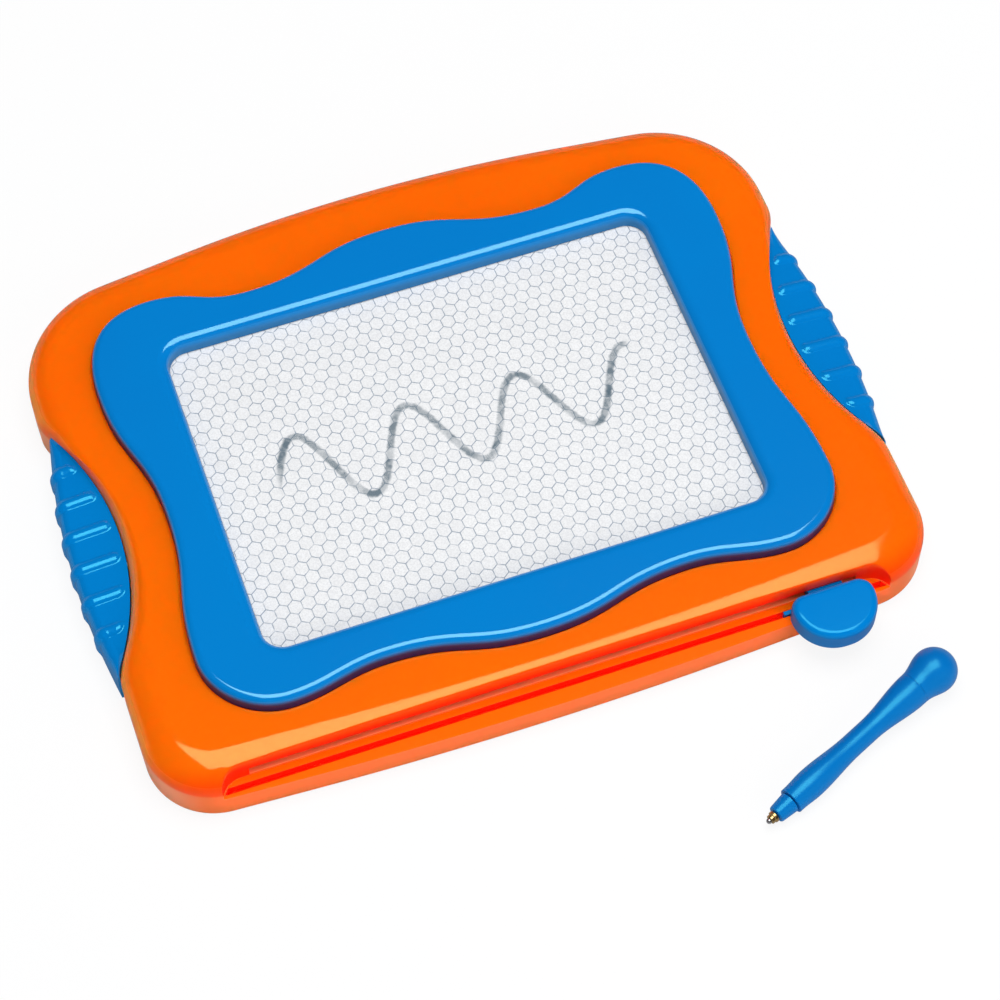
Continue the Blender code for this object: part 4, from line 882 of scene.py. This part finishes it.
def drawn_line(n, own):
    """How dark the drawn line is: a plain wave across the sheet, blotted by the cells."""
    x, y, _ = n.parts(n.object)
    wave = math.tau / WAVE_LENGTH
    phase = n.math("MULTIPLY", n.math("ADD", x, WAVE_HALF), wave)
    rise = n.ramp(x, -WAVE_HALF, WAVE_HALF, *WAVE_RISES, smooth=False)
    swell = n.math("MULTIPLY", n.math("SINE", phase), rise)
    off = n.math("SUBTRACT", y, n.math("ADD", swell, WAVE_MIDDLE_Y))
    steep = n.math("MULTIPLY", n.math("COSINE", phase), n.math("MULTIPLY", rise, wave))
    slope = n.math("SQRT", n.math("ADD", 1.0, n.math("MULTIPLY", steep, steep)))
    far = n.math("DIVIDE", n.math("ABSOLUTE", off), slope)
    fuzz = n.math("MULTIPLY", n.math("SUBTRACT", n.noise(*FUZZ), NOISE_MIDDLE), LINE_FUZZ)
    near_end, far_end = LINE_END_FADE
    by_cell = n.ramp(own, *CELL_BLOT_LIMITS, *CELL_BLOT_SHARES)
    return n.product(
        n.ramp(n.math("ADD", far, fuzz), *LINE_FADE, 1, 0),
        n.product(n.ramp(x, -far_end, -near_end), n.ramp(x, near_end, far_end, 1, 0)),
        n.product(by_cell, n.ramp(n.noise(*BLOTS), *BLOT_LIMITS, *BLOT_SHARES)),
    )


def screen_material(name):
    """Milky sheet over hexagonal cells with thin grey-blue walls and a drawn line."""
    n = new_material(name)
    edge, own = cells(n)
    speck = n.noise(*SPECK)
    colour = n.mix(n.ramp(speck, *SPECK_LIMITS), MILK_SPECK, MILK)
    colour = n.mix(n.math("MULTIPLY", own, CELL_SHADE), colour, MILK_CELL)
    breaks = n.ramp(n.noise(*BREAKS), *BREAK_LIMITS, *BREAK_SHARES)
    wall = n.ramp(edge, *WALL_FADE, 1, 0)
    shown = n.math("MULTIPLY", wall, n.math("MULTIPLY", breaks, WALL_SHARE))
    colour = n.mix(shown, colour, CELL_WALL)
    colour = n.mix(drawn_line(n, own), colour, DRAWN_LINE)
    sunk = n.math("MULTIPLY", wall, WALL_HEIGHT)
    height = n.math("ADD", sunk, n.math("MULTIPLY", speck, SPECK_HEIGHT))
    n.bump(height, SCREEN_DEPTH, SCREEN_STRENGTH)
    roughness = n.ramp(speck, *SCREEN_GLOSS_LIMITS, *SCREEN_ROUGHNESS)
    return n.base(colour, roughness, Specular_IOR_Level=0.4)


def metal(name, colour, roughness):
    n = new_material(name)
    grain = n.noise(*GRAIN, n.vector("MULTIPLY", n.object, GRAIN_STRETCH))
    darker = tuple(c * GRAIN_SHADE for c in colour)
    n.bump(grain, GRAIN_DEPTH, GRAIN_STRENGTH)
    return n.base(
        n.mix(n.ramp(grain, *GRAIN_LIMITS), colour, darker),
        n.ramp(grain, *GRAIN_LIMITS, roughness, roughness + GRAIN_ROUGHNESS),
        Metallic=1.0,
    )


orange = moulded("orange_plastic", ORANGE, ORANGE_DEEP, 0.10, 0.65, AMBER, case_painted_light)
translucent(orange)
rear_orange = moulded("rear_orange_plastic", ORANGE_DEEP, ORANGE_CLOUD_AND_PAINTED_SHADE, 0.3, 0.5, AMBER)
blue = moulded("blue_plastic", BLUE, BLUE_DEEP, 0.09, 1.0, PALE_BLUE, bezel_painted_shade)
grip_blue = moulded("grip_blue_plastic", BLUE, BLUE_DEEP, 0.13, 0.9, AQUA)
knob_blue = moulded("knob_blue_plastic", BLUE, BLUE_DEEP, 0.11, 0.6, AQUA, side_painted_shade)
pen_blue = moulded("pen_blue_plastic", PEN_BLUE, PEN_BLUE_DEEP, 0.28, 0.7, AQUA, walls=0)
screen = screen_material("screen_sheet")
panel_white = moulded("panel_plastic", PANEL_WHITE, PANEL_WHITE_DEEP, 0.4)
brass = metal("brass", BRASS, 0.24)
steel = metal("steel", STEEL, 0.28)
dark = moulded("magnet_ferrite", FERRITE, FERRITE_DEEP, 0.6)


# Case


def shoulder_rings(outer, inner, low, high, steps):
    return [
        at_height([o.lerp(n, inwards) for o, n in zip(outer, inner)], low + (high - low) * upwards)
        for inwards, upwards in quarter_round(steps)
    ]


def shell():
    outer = eased_outline(CASE_CORNERS)
    crease = eased_outline(CREASE_CORNERS)
    rings = []
    for inwards, upwards in quarter_round(FOOT_STEPS):
        z = SKIRT_FOOT_Z + FOOT_ROUND * inwards
        rings.append(at_height(offset(outer, -FOOT_ROUND * (1 - upwards)), z))
    rings += shoulder_rings(outer, crease, SKIRT_TOP_Z, LAND_Z, SHOULDER_STEPS)
    return loft("case_shell", rings)


def cavity():
    wall = offset(eased_outline(CASE_CORNERS), -COVER_WALL)
    roof_edge = offset(eased_outline(CREASE_CORNERS), -COVER_WALL)
    rings = shoulder_rings(wall, roof_edge, CAVITY_SHOULDER_Z, COVER_ROOF_Z, CAVITY_STEPS)
    hollow = loft("hollow", [at_height(wall, -OVERRUN), *rings])
    casing = block(
        "casing",
        (-TROUGH_HALF - COVER_WALL, CASING_FRONT_Y, TROUGH_FLOOR_Z - CASING_DEPTH),
        (TROUGH_HALF + COVER_WALL, TROUGH_BACK_Y + COVER_WALL, LAND_Z + OVERRUN),
    )
    tray = prism("tray", panel_outline(PANEL_TRAY_WALL), PANEL_TRAY_Z, LAND_Z + OVERRUN * 2)
    return cut(hollow, casing, tray)


def arc(centre, radius, first, last, steps):
    """Points and outward directions along an arc, in degrees."""
    made = []
    for i in range(steps + 1):
        angle = math.radians(first + (last - first) * i / steps)
        way = Vector((math.cos(angle), math.sin(angle)))
        made.append((Vector(centre) + way * radius, way))
    return made


def trough_path():
    """Right half of the trough's rim from the middle of its back wall to its mouth,
    with the direction that leads out of the trough at each point."""
    radius = TROUGH_END_RADIUS
    flat = TROUGH_HALF - radius
    path = []
    for i in range(TROUGH_BACK_STEPS):
        path.append((Vector((flat * i / TROUGH_BACK_STEPS, TROUGH_BACK_Y)), Vector((0, 1))))
    path += arc((flat, TROUGH_BACK_Y - radius), radius, 90, 0, TROUGH_END_STEPS)
    mouth = (TROUGH_HALF + MOUTH_ROUND, MOUTH_Y + MOUTH_ROUND - SKIN)
    path += [(point, -way) for point, way in arc(mouth, MOUTH_ROUND, *MOUTH_ARC, MOUTH_STEPS)]
    return path


def trough_cutter(surface):
    """The trough's hollow, with a rounded rim that follows the shell's surface."""
    right = trough_path()
    left = [(Vector((-p.x, p.y)), Vector((-w.x, w.y))) for p, w in reversed(right[1:])]
    path = left + right

    def height(point):
        hit = surface.ray_cast(Vector((point.x, point.y, LAND_Z + OVERRUN)), Vector((0, 0, -1)))
        return hit[0].z if hit[0] is not None and hit[0].z > SKIRT_TOP_Z else SKIRT_TOP_Z

    sections = []
    for point, way in path:
        here = height(point)
        share = min(max((here - SKIRT_TOP_Z) / (LAND_Z - SKIRT_TOP_Z), 0), 1)
        radius = RIM_SKIRT + (RIM_LAND - RIM_SKIRT) * share
        slope = (height(point + way * radius) - here) / radius
        slope = max(min(slope, RIM_SLOPE), -RIM_SLOPE)
        centre_z = here + slope * radius - radius * math.sqrt(1 + slope * slope) + SKIN
        last = 90 + math.degrees(math.atan(slope)) - RIM_SHORT
        section = [(0, TROUGH_FLOOR_Z), (0, (TROUGH_FLOOR_Z + centre_z) / 2)]
        for i in range(RIM_STEPS + 1):
            angle = math.radians(180 + (last - 180) * i / RIM_STEPS)
            section.append((radius + radius * math.cos(angle), centre_z + radius * math.sin(angle)))
        section.append((section[-1][0], LAND_Z + OVERRUN))
        sections.append(section)
    rings = []
    for level in range(len(sections[0])):
        ring = []
        for (point, way), section in zip(path, sections):
            out, z = section[level]
            moved = point + way * out
            ring.append(Vector((moved.x, moved.y, max(z, TROUGH_FLOOR_Z))))
        z = ring[0].z
        right_x, left_x = ring[-1].x + CUTTER_FLARE, ring[0].x - CUTTER_FLARE
        ring += [Vector((right_x, CUTTER_FRONT_Y, z)), Vector((left_x, CUTTER_FRONT_Y, z))]
        rings.append(ring)
    return loft("trough", rings)


def groove_outline():
    """The groove's ends slant along the trough's rounded corners."""
    front_y = TROUGH_BACK_Y - TROUGH_PLAN_DEPTH
    plan = rounded_outline(
        [
            (TROUGH_HALF, TROUGH_BACK_Y, TROUGH_END_RADIUS, TROUGH_END_STEPS),
            (-TROUGH_HALF, TROUGH_BACK_Y, TROUGH_END_RADIUS, TROUGH_END_STEPS),
            (-TROUGH_HALF, front_y, TROUGH_END_RADIUS, 1),
            (TROUGH_HALF, front_y, TROUGH_END_RADIUS, 1),
        ]
    )
    near = GROOVE_MIDDLE_Y - GROOVE_WIDTH / 2
    far = GROOVE_MIDDLE_Y + GROOVE_WIDTH / 2
    near_end = edge_x(plan, near) - GROOVE_END_GAP
    far_end = edge_x(plan, far) - GROOVE_END_GAP
    return [
        Vector((-near_end, near)),
        Vector((near_end, near)),
        Vector((far_end, far)),
        Vector((-far_end, far)),
    ]


def on_floor(a, b):
    """Whether an edge lies at the height of the trough's floor."""
    return all(abs(point.z - TROUGH_FLOOR_Z) < LEVEL_TOLERANCE for point in (a, b))


def ledge_edge(a, b, edge):
    before_groove = max(a.y, b.y) < GROOVE_MIDDLE_Y - GROOVE_WIDTH
    return on_floor(a, b) and before_groove and edge.is_convex


def groove_edge(a, b, edge):
    from_middle = abs((a.y + b.y) / 2 - GROOVE_MIDDLE_Y)
    near = from_middle < GROOVE_WIDTH / 2 + LEVEL_TOLERANCE
    return on_floor(a, b) and near and edge.is_convex


def case_cover():
    cover = shell()
    bm = bmesh.new()
    bm.from_mesh(cover.data)
    surface = BVHTree.FromBMesh(bm)
    bm.free()
    cut(cover, cavity())
    seat = offset(wave_outline(BEZEL_TURNS, BEZEL_STEPS), BEZEL_DRAFT + BEZEL_SEAT_SIDE_GAP)
    cut(
        cover,
        prism("seat", seat, LAND_Z - BEZEL_SEAT_DEPTH, LAND_Z + OVERRUN),
        prism("recess", panel_outline(SEAT_GAP), PANEL_RECESS_Z, LAND_Z + OVERRUN),
        prism("opening", panel_outline(-PANEL_SHELF), OPENING_FOOT_Z, LAND_Z + OVERRUN),
        trough_cutter(surface),
    )
    groove = prism(
        "groove",
        groove_outline(),
        TROUGH_FLOOR_Z - GROOVE_DEPTH,
        TROUGH_FLOOR_Z + OVERRUN,
    )
    slot = block(
        "slot",
        (-SLOT_HALF, TROUGH_BACK_Y - SLOT_OVERRUN, SLOT_SILL_Z),
        (SLOT_HALF, TROUGH_BACK_Y + COVER_WALL + SLOT_OVERRUN, SLOT_TOP_Z),
    )
    cut(cover, groove, slot)
    soften(cover, ledge_edge, LEDGE_ROUND, LEDGE_STEPS)
    soften(cover, groove_edge, GROOVE_ROUND, GROOVE_STEPS)
    shaded(cover)
    finish(cover, orange, "case", "front_cover")


def bezel_rim():
    outline = wave_outline(BEZEL_TURNS, BEZEL_STEPS)
    foot_z = LAND_Z - BEZEL_SEAT_DEPTH + SEAT_GAP
    edge_z = BEZEL_TOP_Z - BEZEL_EDGE
    rings = [at_height(offset(outline, BEZEL_DRAFT), foot_z)]
    for inwards, upwards in quarter_round(EDGE_STEPS):
        ring = offset(outline, -BEZEL_EDGE_REACH * inwards)
        rings.append(at_height(ring, edge_z + BEZEL_EDGE * upwards))
    rim = loft("bezel_rim", rings)
    lip_z = BEZEL_TOP_Z - WINDOW_LIP
    panel_z = PANEL_TOP_Z + SEAT_GAP
    rings = [
        at_height(window_outline(-WINDOW_DRAFT), foot_z - OVERRUN),
        at_height(window_outline(-WINDOW_DRAFT), panel_z),
    ]
    for inwards, upwards in quarter_round(EDGE_STEPS):
        ring = window_outline(WINDOW_LIP_REACH * inwards)
        rings.append(at_height(ring, lip_z + WINDOW_LIP * upwards))
    rings.append(at_height(window_outline(WINDOW_LIP_REACH), BEZEL_TOP_Z + OVERRUN))
    cut(rim, loft("window", rings), prism("panel_room", panel_outline(SEAT_GAP), 0, panel_z))
    shaded(rim)
    finish(rim, blue, "case", "bezel")


def screen_sheet():
    outline = panel_outline(0)
    sheet = prism("screen_sheet", outline, PANEL_TOP_Z - SHEET_THICKNESS, PANEL_TOP_Z)
    shaded(sheet)
    finish(sheet, screen, "case", "screen_front_sheet")


# Grips


def grip_section(inner, outer, width):
    """Section of a grip from the case's wall along its foot, up its side and back."""
    round_x = min(GRIP_SIDE_RADIUS, width * GRIP_SIDE_SHARE)
    side_z = GRIP_TOP_Z - GRIP_SIDE_HEIGHT
    foot = round_x * GRIP_FOOT_SHARE
    bend = round_x * GRIP_BEND_SHARE
    low = SKIRT_FOOT_Z + foot
    path = [
        (inner, SKIRT_FOOT_Z),
        (outer - foot, SKIRT_FOOT_Z),
        (outer - bend, SKIRT_FOOT_Z + bend),
    ]
    for j in range(GRIP_SIDE_STEPS + 1):
        path.append((outer, low + (side_z - low) * j / GRIP_SIDE_STEPS))
    for inwards, upwards in quarter_round(GRIP_ROUND_STEPS)[1:]:
        path.append((outer - round_x * inwards, side_z + GRIP_SIDE_HEIGHT * upwards))
    reach = width - round_x
    rise = GRIP_INNER_TOP_Z - GRIP_TOP_Z
    for j in range(1, GRIP_TOP_STEPS + 1):
        share = j / GRIP_TOP_STEPS
        path.append((outer - round_x - reach * share, GRIP_TOP_Z + rise * share))
    return path


def rib_height(y, from_inner, z):
    """Pill-shaped ribs that begin a little way from the inner edge and fade out low on
    the outer side."""
    best = 0
    for i in range(RIB_COUNT):
        across = abs(y - RIB_MIDDLE_Y - RIB_PITCH * (i - (RIB_COUNT - 1) / 2))
        short = max(RIB_START + RIB_HALF - from_inner, 0)
        away = math.hypot(across, short)
        if away < RIB_HALF:
            best = RIB_HEIGHT * (1 - (away / RIB_HALF) ** 2)
    low = min(max((z - RIB_FADE_Z) / RIB_FADE_HEIGHT, 0), 1)
    return best * low * low * (3 - 2 * low)


def grip(name, side, node):
    case_edge = offset(eased_outline(CASE_CORNERS), GRIP_GAP)
    half_length = (GRIP_BACK_Y - GRIP_FRONT_Y) / 2
    rings = []
    for i in range(GRIP_STATIONS + 1):
        y = GRIP_FRONT_Y + (GRIP_BACK_Y - GRIP_FRONT_Y) * i / GRIP_STATIONS
        inner = edge_x(case_edge, y)
        outer = GRIP_OUTER_X - GRIP_END_SETBACK * ((y - GRIP_OUTER_Y) / half_length) ** 2
        width = max(outer - inner, GRIP_LEAST_WIDTH)
        path = grip_section(inner, inner + width, width)
        ring = []
        for j, (x, z) in enumerate(path):
            before = path[max(j - 1, 0)]
            after = path[min(j + 1, len(path) - 1)]
            way = Vector((after[1] - before[1], before[0] - after[0]))
            way = way.normalized() if way.length else Vector((1, 0))
            ribbed = GRIP_FOOT_POINTS <= j < len(path) - 1
            swell = rib_height(y, x - inner, z) if ribbed else 0
            ring.append(Vector((side * (x + way.x * swell), y, z + max(way.y, 0) * swell)))
        rings.append(ring)
    made = loft(name, rings)
    shaded(made, GRIP_SMOOTH_ANGLE)
    finish(made, grip_blue, "case", node)


# Slider


def knob():
    outline = rounded_outline(
        [
            (-KNOB_HALF, KNOB_FRONT_Y, KNOB_FRONT_CORNER, KNOB_FRONT_STEPS),
            (KNOB_HALF, KNOB_FRONT_Y, KNOB_FRONT_CORNER, KNOB_FRONT_STEPS),
            (KNOB_HALF, KNOB_BACK_Y, KNOB_BACK_CORNER, KNOB_BACK_STEPS),
            (-KNOB_HALF, KNOB_BACK_Y, KNOB_BACK_CORNER, KNOB_BACK_STEPS),
        ]
    )
    outline = [point + Vector((KNOB_MIDDLE_X, 0)) for point in outline]
    bottom_z = TROUGH_FLOOR_Z + SEAT_GAP
    edge_z = KNOB_TOP_Z - KNOB_EDGE
    rings = [
        at_height(offset(outline, -KNOB_CHAMFER), bottom_z),
        at_height(outline, bottom_z + KNOB_CHAMFER),
    ]
    for inwards, upwards in quarter_round(KNOB_EDGE_STEPS):
        ring = offset(outline, -KNOB_EDGE * inwards)
        rings.append(at_height(ring, edge_z + KNOB_EDGE * upwards))
    cap = loft("knob_cap", rings)
    arm = block(
        "arm",
        (KNOB_MIDDLE_X - ARM_HALF, KNOB_BACK_Y - KNOB_EDGE, ARM_BOTTOM_Z),
        (KNOB_MIDDLE_X + ARM_HALF, ARM_BACK_Y, ARM_TOP_Z),
    )
    half = GROOVE_WIDTH / 2 - SLIDE_GAP
    tongue = block(
        "tongue",
        (KNOB_MIDDLE_X - TONGUE_HALF, GROOVE_MIDDLE_Y - half, TROUGH_FLOOR_Z - TONGUE_DEPTH),
        (KNOB_MIDDLE_X + TONGUE_HALF, GROOVE_MIDDLE_Y + half, TROUGH_FLOOR_Z + TONGUE_RISE),
    )
    join(cap, arm, tongue)
    shaded(cap)
    finish(cap, knob_blue, "slider", "eraser_knob")


# Pen


def turned(name, profile, sides=PEN_SIDES):
    rings = []
    for distance, radius in profile:
        rings.append(
            [
                Vector((distance, radius * math.cos(a), radius * math.sin(a)))
                for a in (math.tau * i / sides for i in range(sides))
            ]
        )
    return loft(name, rings)


def swelling(start, end, steps):
    points = []
    for i in range(steps + 1):
        share = i / steps
        eased = (1 - math.cos(math.pi * share)) / 2
        radius = start[1] + (end[1] - start[1]) * eased
        points.append((start[0] + (end[0] - start[0]) * share, radius))
    return points


def pen():
    """The pen lies on the ground, on the belly of its barrel and on its bulb."""
    reach, bulb_radius = BULB_MIDDLE
    barrel = [
        *PEN_FRONT,
        *swelling(PEN_STEP, PEN_BELLY, BELLY_STEPS),
        *swelling(PEN_BELLY, PEN_WAIST_FRONT, WAIST_STEPS)[1:],
        *swelling(PEN_WAIST_BACK, PEN_SEAM, SEAM_STEPS),
        PEN_SEAM_FRONT,
    ]
    bulb = [PEN_SEAM_BACK, *swelling(BULB_NECK, BULB_MIDDLE, NECK_STEPS)]
    for inwards, upwards in quarter_round(BULB_STEPS)[1:]:
        radius = max(bulb_radius * (1 - inwards), BULB_LEAST)
        bulb.append((reach + bulb_radius * upwards, radius))
    ball = []
    for i in range(1, BALL_STEPS):
        angle = math.pi * i / BALL_STEPS
        ball.append((BALL_RADIUS * (1 - math.cos(angle)), BALL_RADIUS * math.sin(angle)))
    made = [
        (turned("pen_grip", barrel), pen_blue, "pen_barrel"),
        (turned("pen_point", NOSE), pen_blue, "pen_nose"),
        (turned("pen_end", bulb), pen_blue, "pen_bulb"),
        (turned("pen_ferrule", COLLAR, COLLAR_SIDES), brass, "pen_collar"),
        (turned("pen_ball", ball, BALL_SIDES), steel, "pen_tip_ball"),
    ]
    tilt = math.asin((bulb_radius - PEN_BELLY[1]) / (reach - PEN_BELLY[0]))
    tip_z = PEN_BELLY[1] - PEN_BELLY[0] * math.sin(tilt) + PEN_LIFT
    lying = bpy.data.objects.new("pen_lie", None)
    bpy.context.scene.collection.objects.link(lying)
    lying.location = (*PEN_PLACE, tip_z)
    lying.rotation_euler = (0, -tilt, PEN_HEADING)
    bpy.context.view_layer.update()
    for obj, material, node in made:
        obj.data.transform(lying.matrix_world)
        shaded(obj, PEN_SMOOTH_ANGLE)
        finish(obj, material, "pen", node)
    bpy.data.objects.remove(lying)


case_cover()
bezel_rim()
screen_sheet()
grip("grip_left", -1, "left_grip")
grip("grip_right", 1, "right_grip")
knob()
pen()

# CAD pieces that keep their shape
KEPT = {
    "rear_cover": rear_orange,
    "honeycomb_core": panel_white,
    "screen_back_sheet": panel_white,
    "eraser_bar": knob_blue,
    "eraser_magnet": dark,
    "pen_magnet": dark,
}
for name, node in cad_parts.items():
    material = KEPT.get(name, steel if "screw" in name else None)
    if material is not None:
        node.data.materials.clear()
        node.data.materials.append(material)
        node.data.shade_smooth()
        node.data.set_sharp_from_angle(angle=SMOOTH_ANGLE)


# Studio


def floor():
    bm = bmesh.new()
    bmesh.ops.create_grid(bm, x_segments=1, y_segments=1, size=FLOOR_HALF)
    plane = mesh_object("floor", bm)
    plane.location.z = -FLOOR_DROP
    n = new_material("floor")
    path = n.add("ShaderNodeLightPath").outputs
    colour = n.mix(path["Is Glossy Ray"], FLOOR_COLOUR, FLOOR_MIRRORED)
    n.base(colour, FLOOR_ROUGHNESS, Specular_IOR_Level=0.2)
    glow = n.add("ShaderNodeEmission")
    n.set(glow.inputs["Color"], WHITE)
    n.set(glow.inputs["Strength"], 1.0)
    share = n.math("MULTIPLY", path["Is Camera Ray"], FLOOR_GLOW_SHARE)
    above = n.blend(share, n.shader.outputs[0], glow.outputs[0])
    clear = n.add("ShaderNodeBsdfTransparent")
    close = n.math("LESS_THAN", path["Ray Length"], CONTACT_GAP)
    below = n.add("ShaderNodeNewGeometry").outputs["Backfacing"]
    seen = n.blend(n.math("MAXIMUM", below, close), above, clear.outputs[0])
    n.set(n.tree.nodes["Material Output"].inputs["Surface"], seen)
    plane.data.materials.append(n.owner)


def soft_light(name, place, aim, size, power):
    data = bpy.data.lights.new(name, "AREA")
    data.shape = "RECTANGLE"
    data.size, data.size_y = size
    data.energy = power
    light = bpy.data.objects.new(name, data)
    bpy.context.scene.collection.objects.link(light)
    light.location = place
    light.rotation_euler = (Vector(aim) - Vector(place)).to_track_quat("-Z", "Y").to_euler()
    return light


def lamps():
    soft_light(
        "overhead",
        place=(0.065, -0.025, 1.1),
        aim=(0.065, -0.025, 0),
        size=(0.85, 0.75),
        power=10.5,
    )
    front = soft_light(
        "front", place=(0.35, -1.25, 0.55), aim=(0, 0, 0), size=(2.6, 1.0), power=10.0
    )
    front.visible_glossy = False


def backdrop():
    world = bpy.data.worlds.new("studio")
    bpy.context.scene.world = world
    n = Nodes(world)
    path = n.add("ShaderNodeLightPath").outputs
    _, depth, rise = n.parts(n.generated)
    horizon = n.ramp(rise, *HORIZON_RISE, HORIZON_STRENGTH, 0.0, smooth=False)
    behind = n.ramp(depth, *HORIZON_DEPTH, smooth=False)
    mirrored = n.math("MULTIPLY_ADD", horizon, behind, MIRRORED_LEAST)
    strength = n.ramp(path["Is Glossy Ray"], 0.0, 1.0, WORLD_STRENGTH, mirrored, smooth=False)
    background = n.tree.nodes["Background"].inputs
    n.set(background["Color"], WORLD_COLOUR)
    n.set(background["Strength"], n.math("MAXIMUM", path["Is Camera Ray"], strength))


def camera():
    data = bpy.data.cameras.new("camera")
    data.lens = CAMERA_LENS
    data.sensor_width = SENSOR_WIDTH
    data.clip_start = CLIP_START
    obj = bpy.data.objects.new("camera", data)
    bpy.context.scene.collection.objects.link(obj)
    obj.location = CAMERA_PLACE
    obj.rotation_euler = CAMERA_TURN
    bpy.context.scene.camera = obj


floor()
lamps()
backdrop()
camera()
bpy.context.scene.view_settings.view_transform = "Standard"
